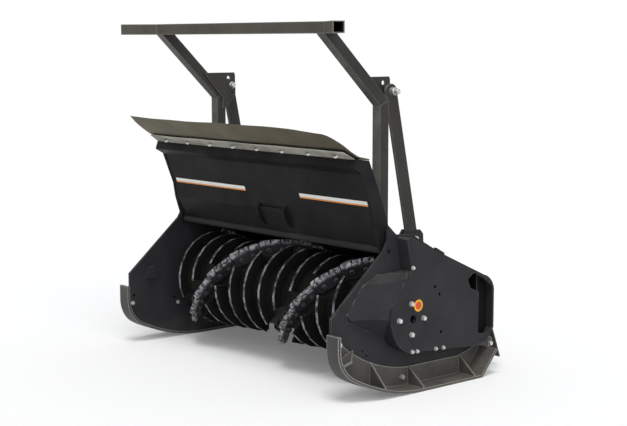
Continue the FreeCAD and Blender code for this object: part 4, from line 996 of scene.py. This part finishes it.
# %% Where two tubes meet
def outer_ring(spots):
    """The four outermost spots, in order round the tube."""
    middle = sum(spots, Vector()) / len(spots)
    far = sorted(spots, key=lambda v: -(v - middle).length)[:4]
    across = next(v - middle for v in far if abs((v - middle).x) > 0)
    across = Vector((0, across.y, across.z)).normalized()
    return sorted(far, key=lambda v: math.atan2((v - middle).dot(across), (v - middle).x))


def corners(node, side, low):
    """The corners of one side's tubes that lie above the height 'low'."""
    return [v.co.copy() for v in frame["nodes"][node].data.vertices if v.co.x * side > 0 and v.co.z > low]


def welds(name, body, seams, radius=0.004, finish="frame_paint"):
    """seams is a list of (points, closed)."""
    points, edges = [], []
    for seam, closed in seams:
        first = len(points)
        points += [tuple(v) for v in seam]
        edges += [(first + k, first + k + 1) for k in range(len(seam) - 1)]
        if closed:
            edges.append((len(points) - 1, first))
    mesh = bpy.data.meshes.new(name)
    mesh.from_pydata(points, edges, [])
    values = {"Radius": radius, "Material": finishes[finish]}
    slot = finish if finish in slot_of.values() else "head_paint"
    made = grow(name, mesh, weld_tree, weld_inputs, values, body, slot)
    print(name, len(seams), "seams,", len(made.data.polygons), "faces")


arm_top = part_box("push_arms")[1].z
seams = []
for side in (-1, 1):
    foot = [v for v in corners("push_uprights", side, 0) if v.z < foot_high.z + 0.003]
    elbow = corners("push_uprights", side, foot_high.z + 0.3)
    seams += [(outer_ring(spots), True) for spots in (foot, corners("push_arms", side, arm_top - 0.003), elbow)]
welds("frame_welds", "head", seams)

# %% Gate welds
def on_panel(x, z):
    return seat("gate_panel", at(x, -1.0, z), (0, 1, 0))[0]


def spread(low, high, count):
    return [low + (high - low) * k / (count - 1) for k in range(count)]


panel_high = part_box("gate_panel")[1]
rail_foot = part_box("gate_top_rail")[0].z
bracket_low, bracket_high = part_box("gate_front_bracket")
seams = [([on_panel(side * (panel_high.x - 0.003), z) for z in spread(0.985, 1.420, 25)], False) for side in (-1, 1)]
for x in (bracket_low.x - 0.001, bracket_high.x + 0.001):
    seams.append(([on_panel(x, z) for z in spread(bracket_low.z + 0.004, bracket_high.z - 0.004, 9)], False))
rail_reach = panel_high.x - 0.006
under_rail = [Vector((x, on_panel(x, panel_high.z - 0.004).y, (panel_high.z + rail_foot) / 2))
              for x in spread(-rail_reach, rail_reach, 45)]
seams.append((under_rail, False))
welds("gate_welds", "gate", seams, radius=0.005, finish="gate_paint")
print("gap under the top rail", round((rail_foot - panel_high.z) * 1000, 1), "mm, filled by a bead")

# %% [markdown]
# ## Stripes
# Two thin stripes of film run across the upper gate, a white one over a narrow orange one, and leave
# the middle free.  Film is a sheet a fraction of a millimetre thick, so each stripe is a thin closed
# strip laid just in front of the panel.  Its colour is slightly uneven and scratched.

# %% Film colours
def film(name, base, shade):
    return no_metal(coated(name, base, shade, 0.4, wear=0.15, wear_width=0.001, steel=(0.1, 0.1, 0.1),
                           top_dust=0.1, mud=0.0, bump=0.05, coat=0.15))


white_film = film("white_film", (0.92, 0.91, 0.88), (0.82, 0.80, 0.75))
orange_film = film("orange_film", (0.86, 0.32, 0.05), (0.78, 0.26, 0.04))
yellow_film = film("yellow_film", (0.86, 0.46, 0.04), (0.80, 0.40, 0.03))
red_film = film("red_film", (0.72, 0.10, 0.03), (0.64, 0.08, 0.025))
print("film in four colours")


# %% Lay the stripes
def stripe(name, x0, x1, z0, z1, material, count=24):
    """A closed strip of film on the gate's panel, from x0 to x1 and z0 to z1."""
    bm = bmesh.new()
    loops = []
    for z, lift in ((z0, 0.0006), (z1, 0.0006), (z1, film_gap), (z0, film_gap)):
        found = [seat("gate_panel", at(x, -1.0, z), (0, 1, 0)) for x in spread(x0, x1, count + 1)]
        loops.append([bm.verts.new(spot + normal * lift) for spot, normal in found])
    for one, other in zip(loops, loops[1:] + loops[:1]):
        for k in range(count):
            bm.faces.new((one[k], one[k + 1], other[k + 1], other[k]))
    bm.faces.new([row[0] for row in loops])
    bm.faces.new([row[-1] for row in loops[::-1]])
    return piece(name, mesh_of(name, bm), "gate", "head_paint", material)


for label, x0, x1 in (("left", -1.055, -0.205), ("right", 0.400, 1.082)):
    stripe(f"white_stripe_{label}", x0, x1, 1.236, 1.260, white_film)
    stripe(f"orange_stripe_{label}", x0, x1, 1.226, 1.2355, orange_film)
print("stripes laid on the gate")

# %% [markdown]
# ## Disc on the cover
# A round film disc, red with a yellow rim, marks the cover.  It carries no words.

# %% Disc
disc_place = [(on_cover(0.073, 0.566)[0], Vector((1, 0, 0)))]
film_rounds("disc_face", disc_place, 0.027, red_film, sides=48)
film_rounds("disc_rim", disc_place, 0.040, yellow_film, inner=0.027, sides=48)
print("disc stands at", tuple(round(v, 3) for v in disc_place[0][0]))
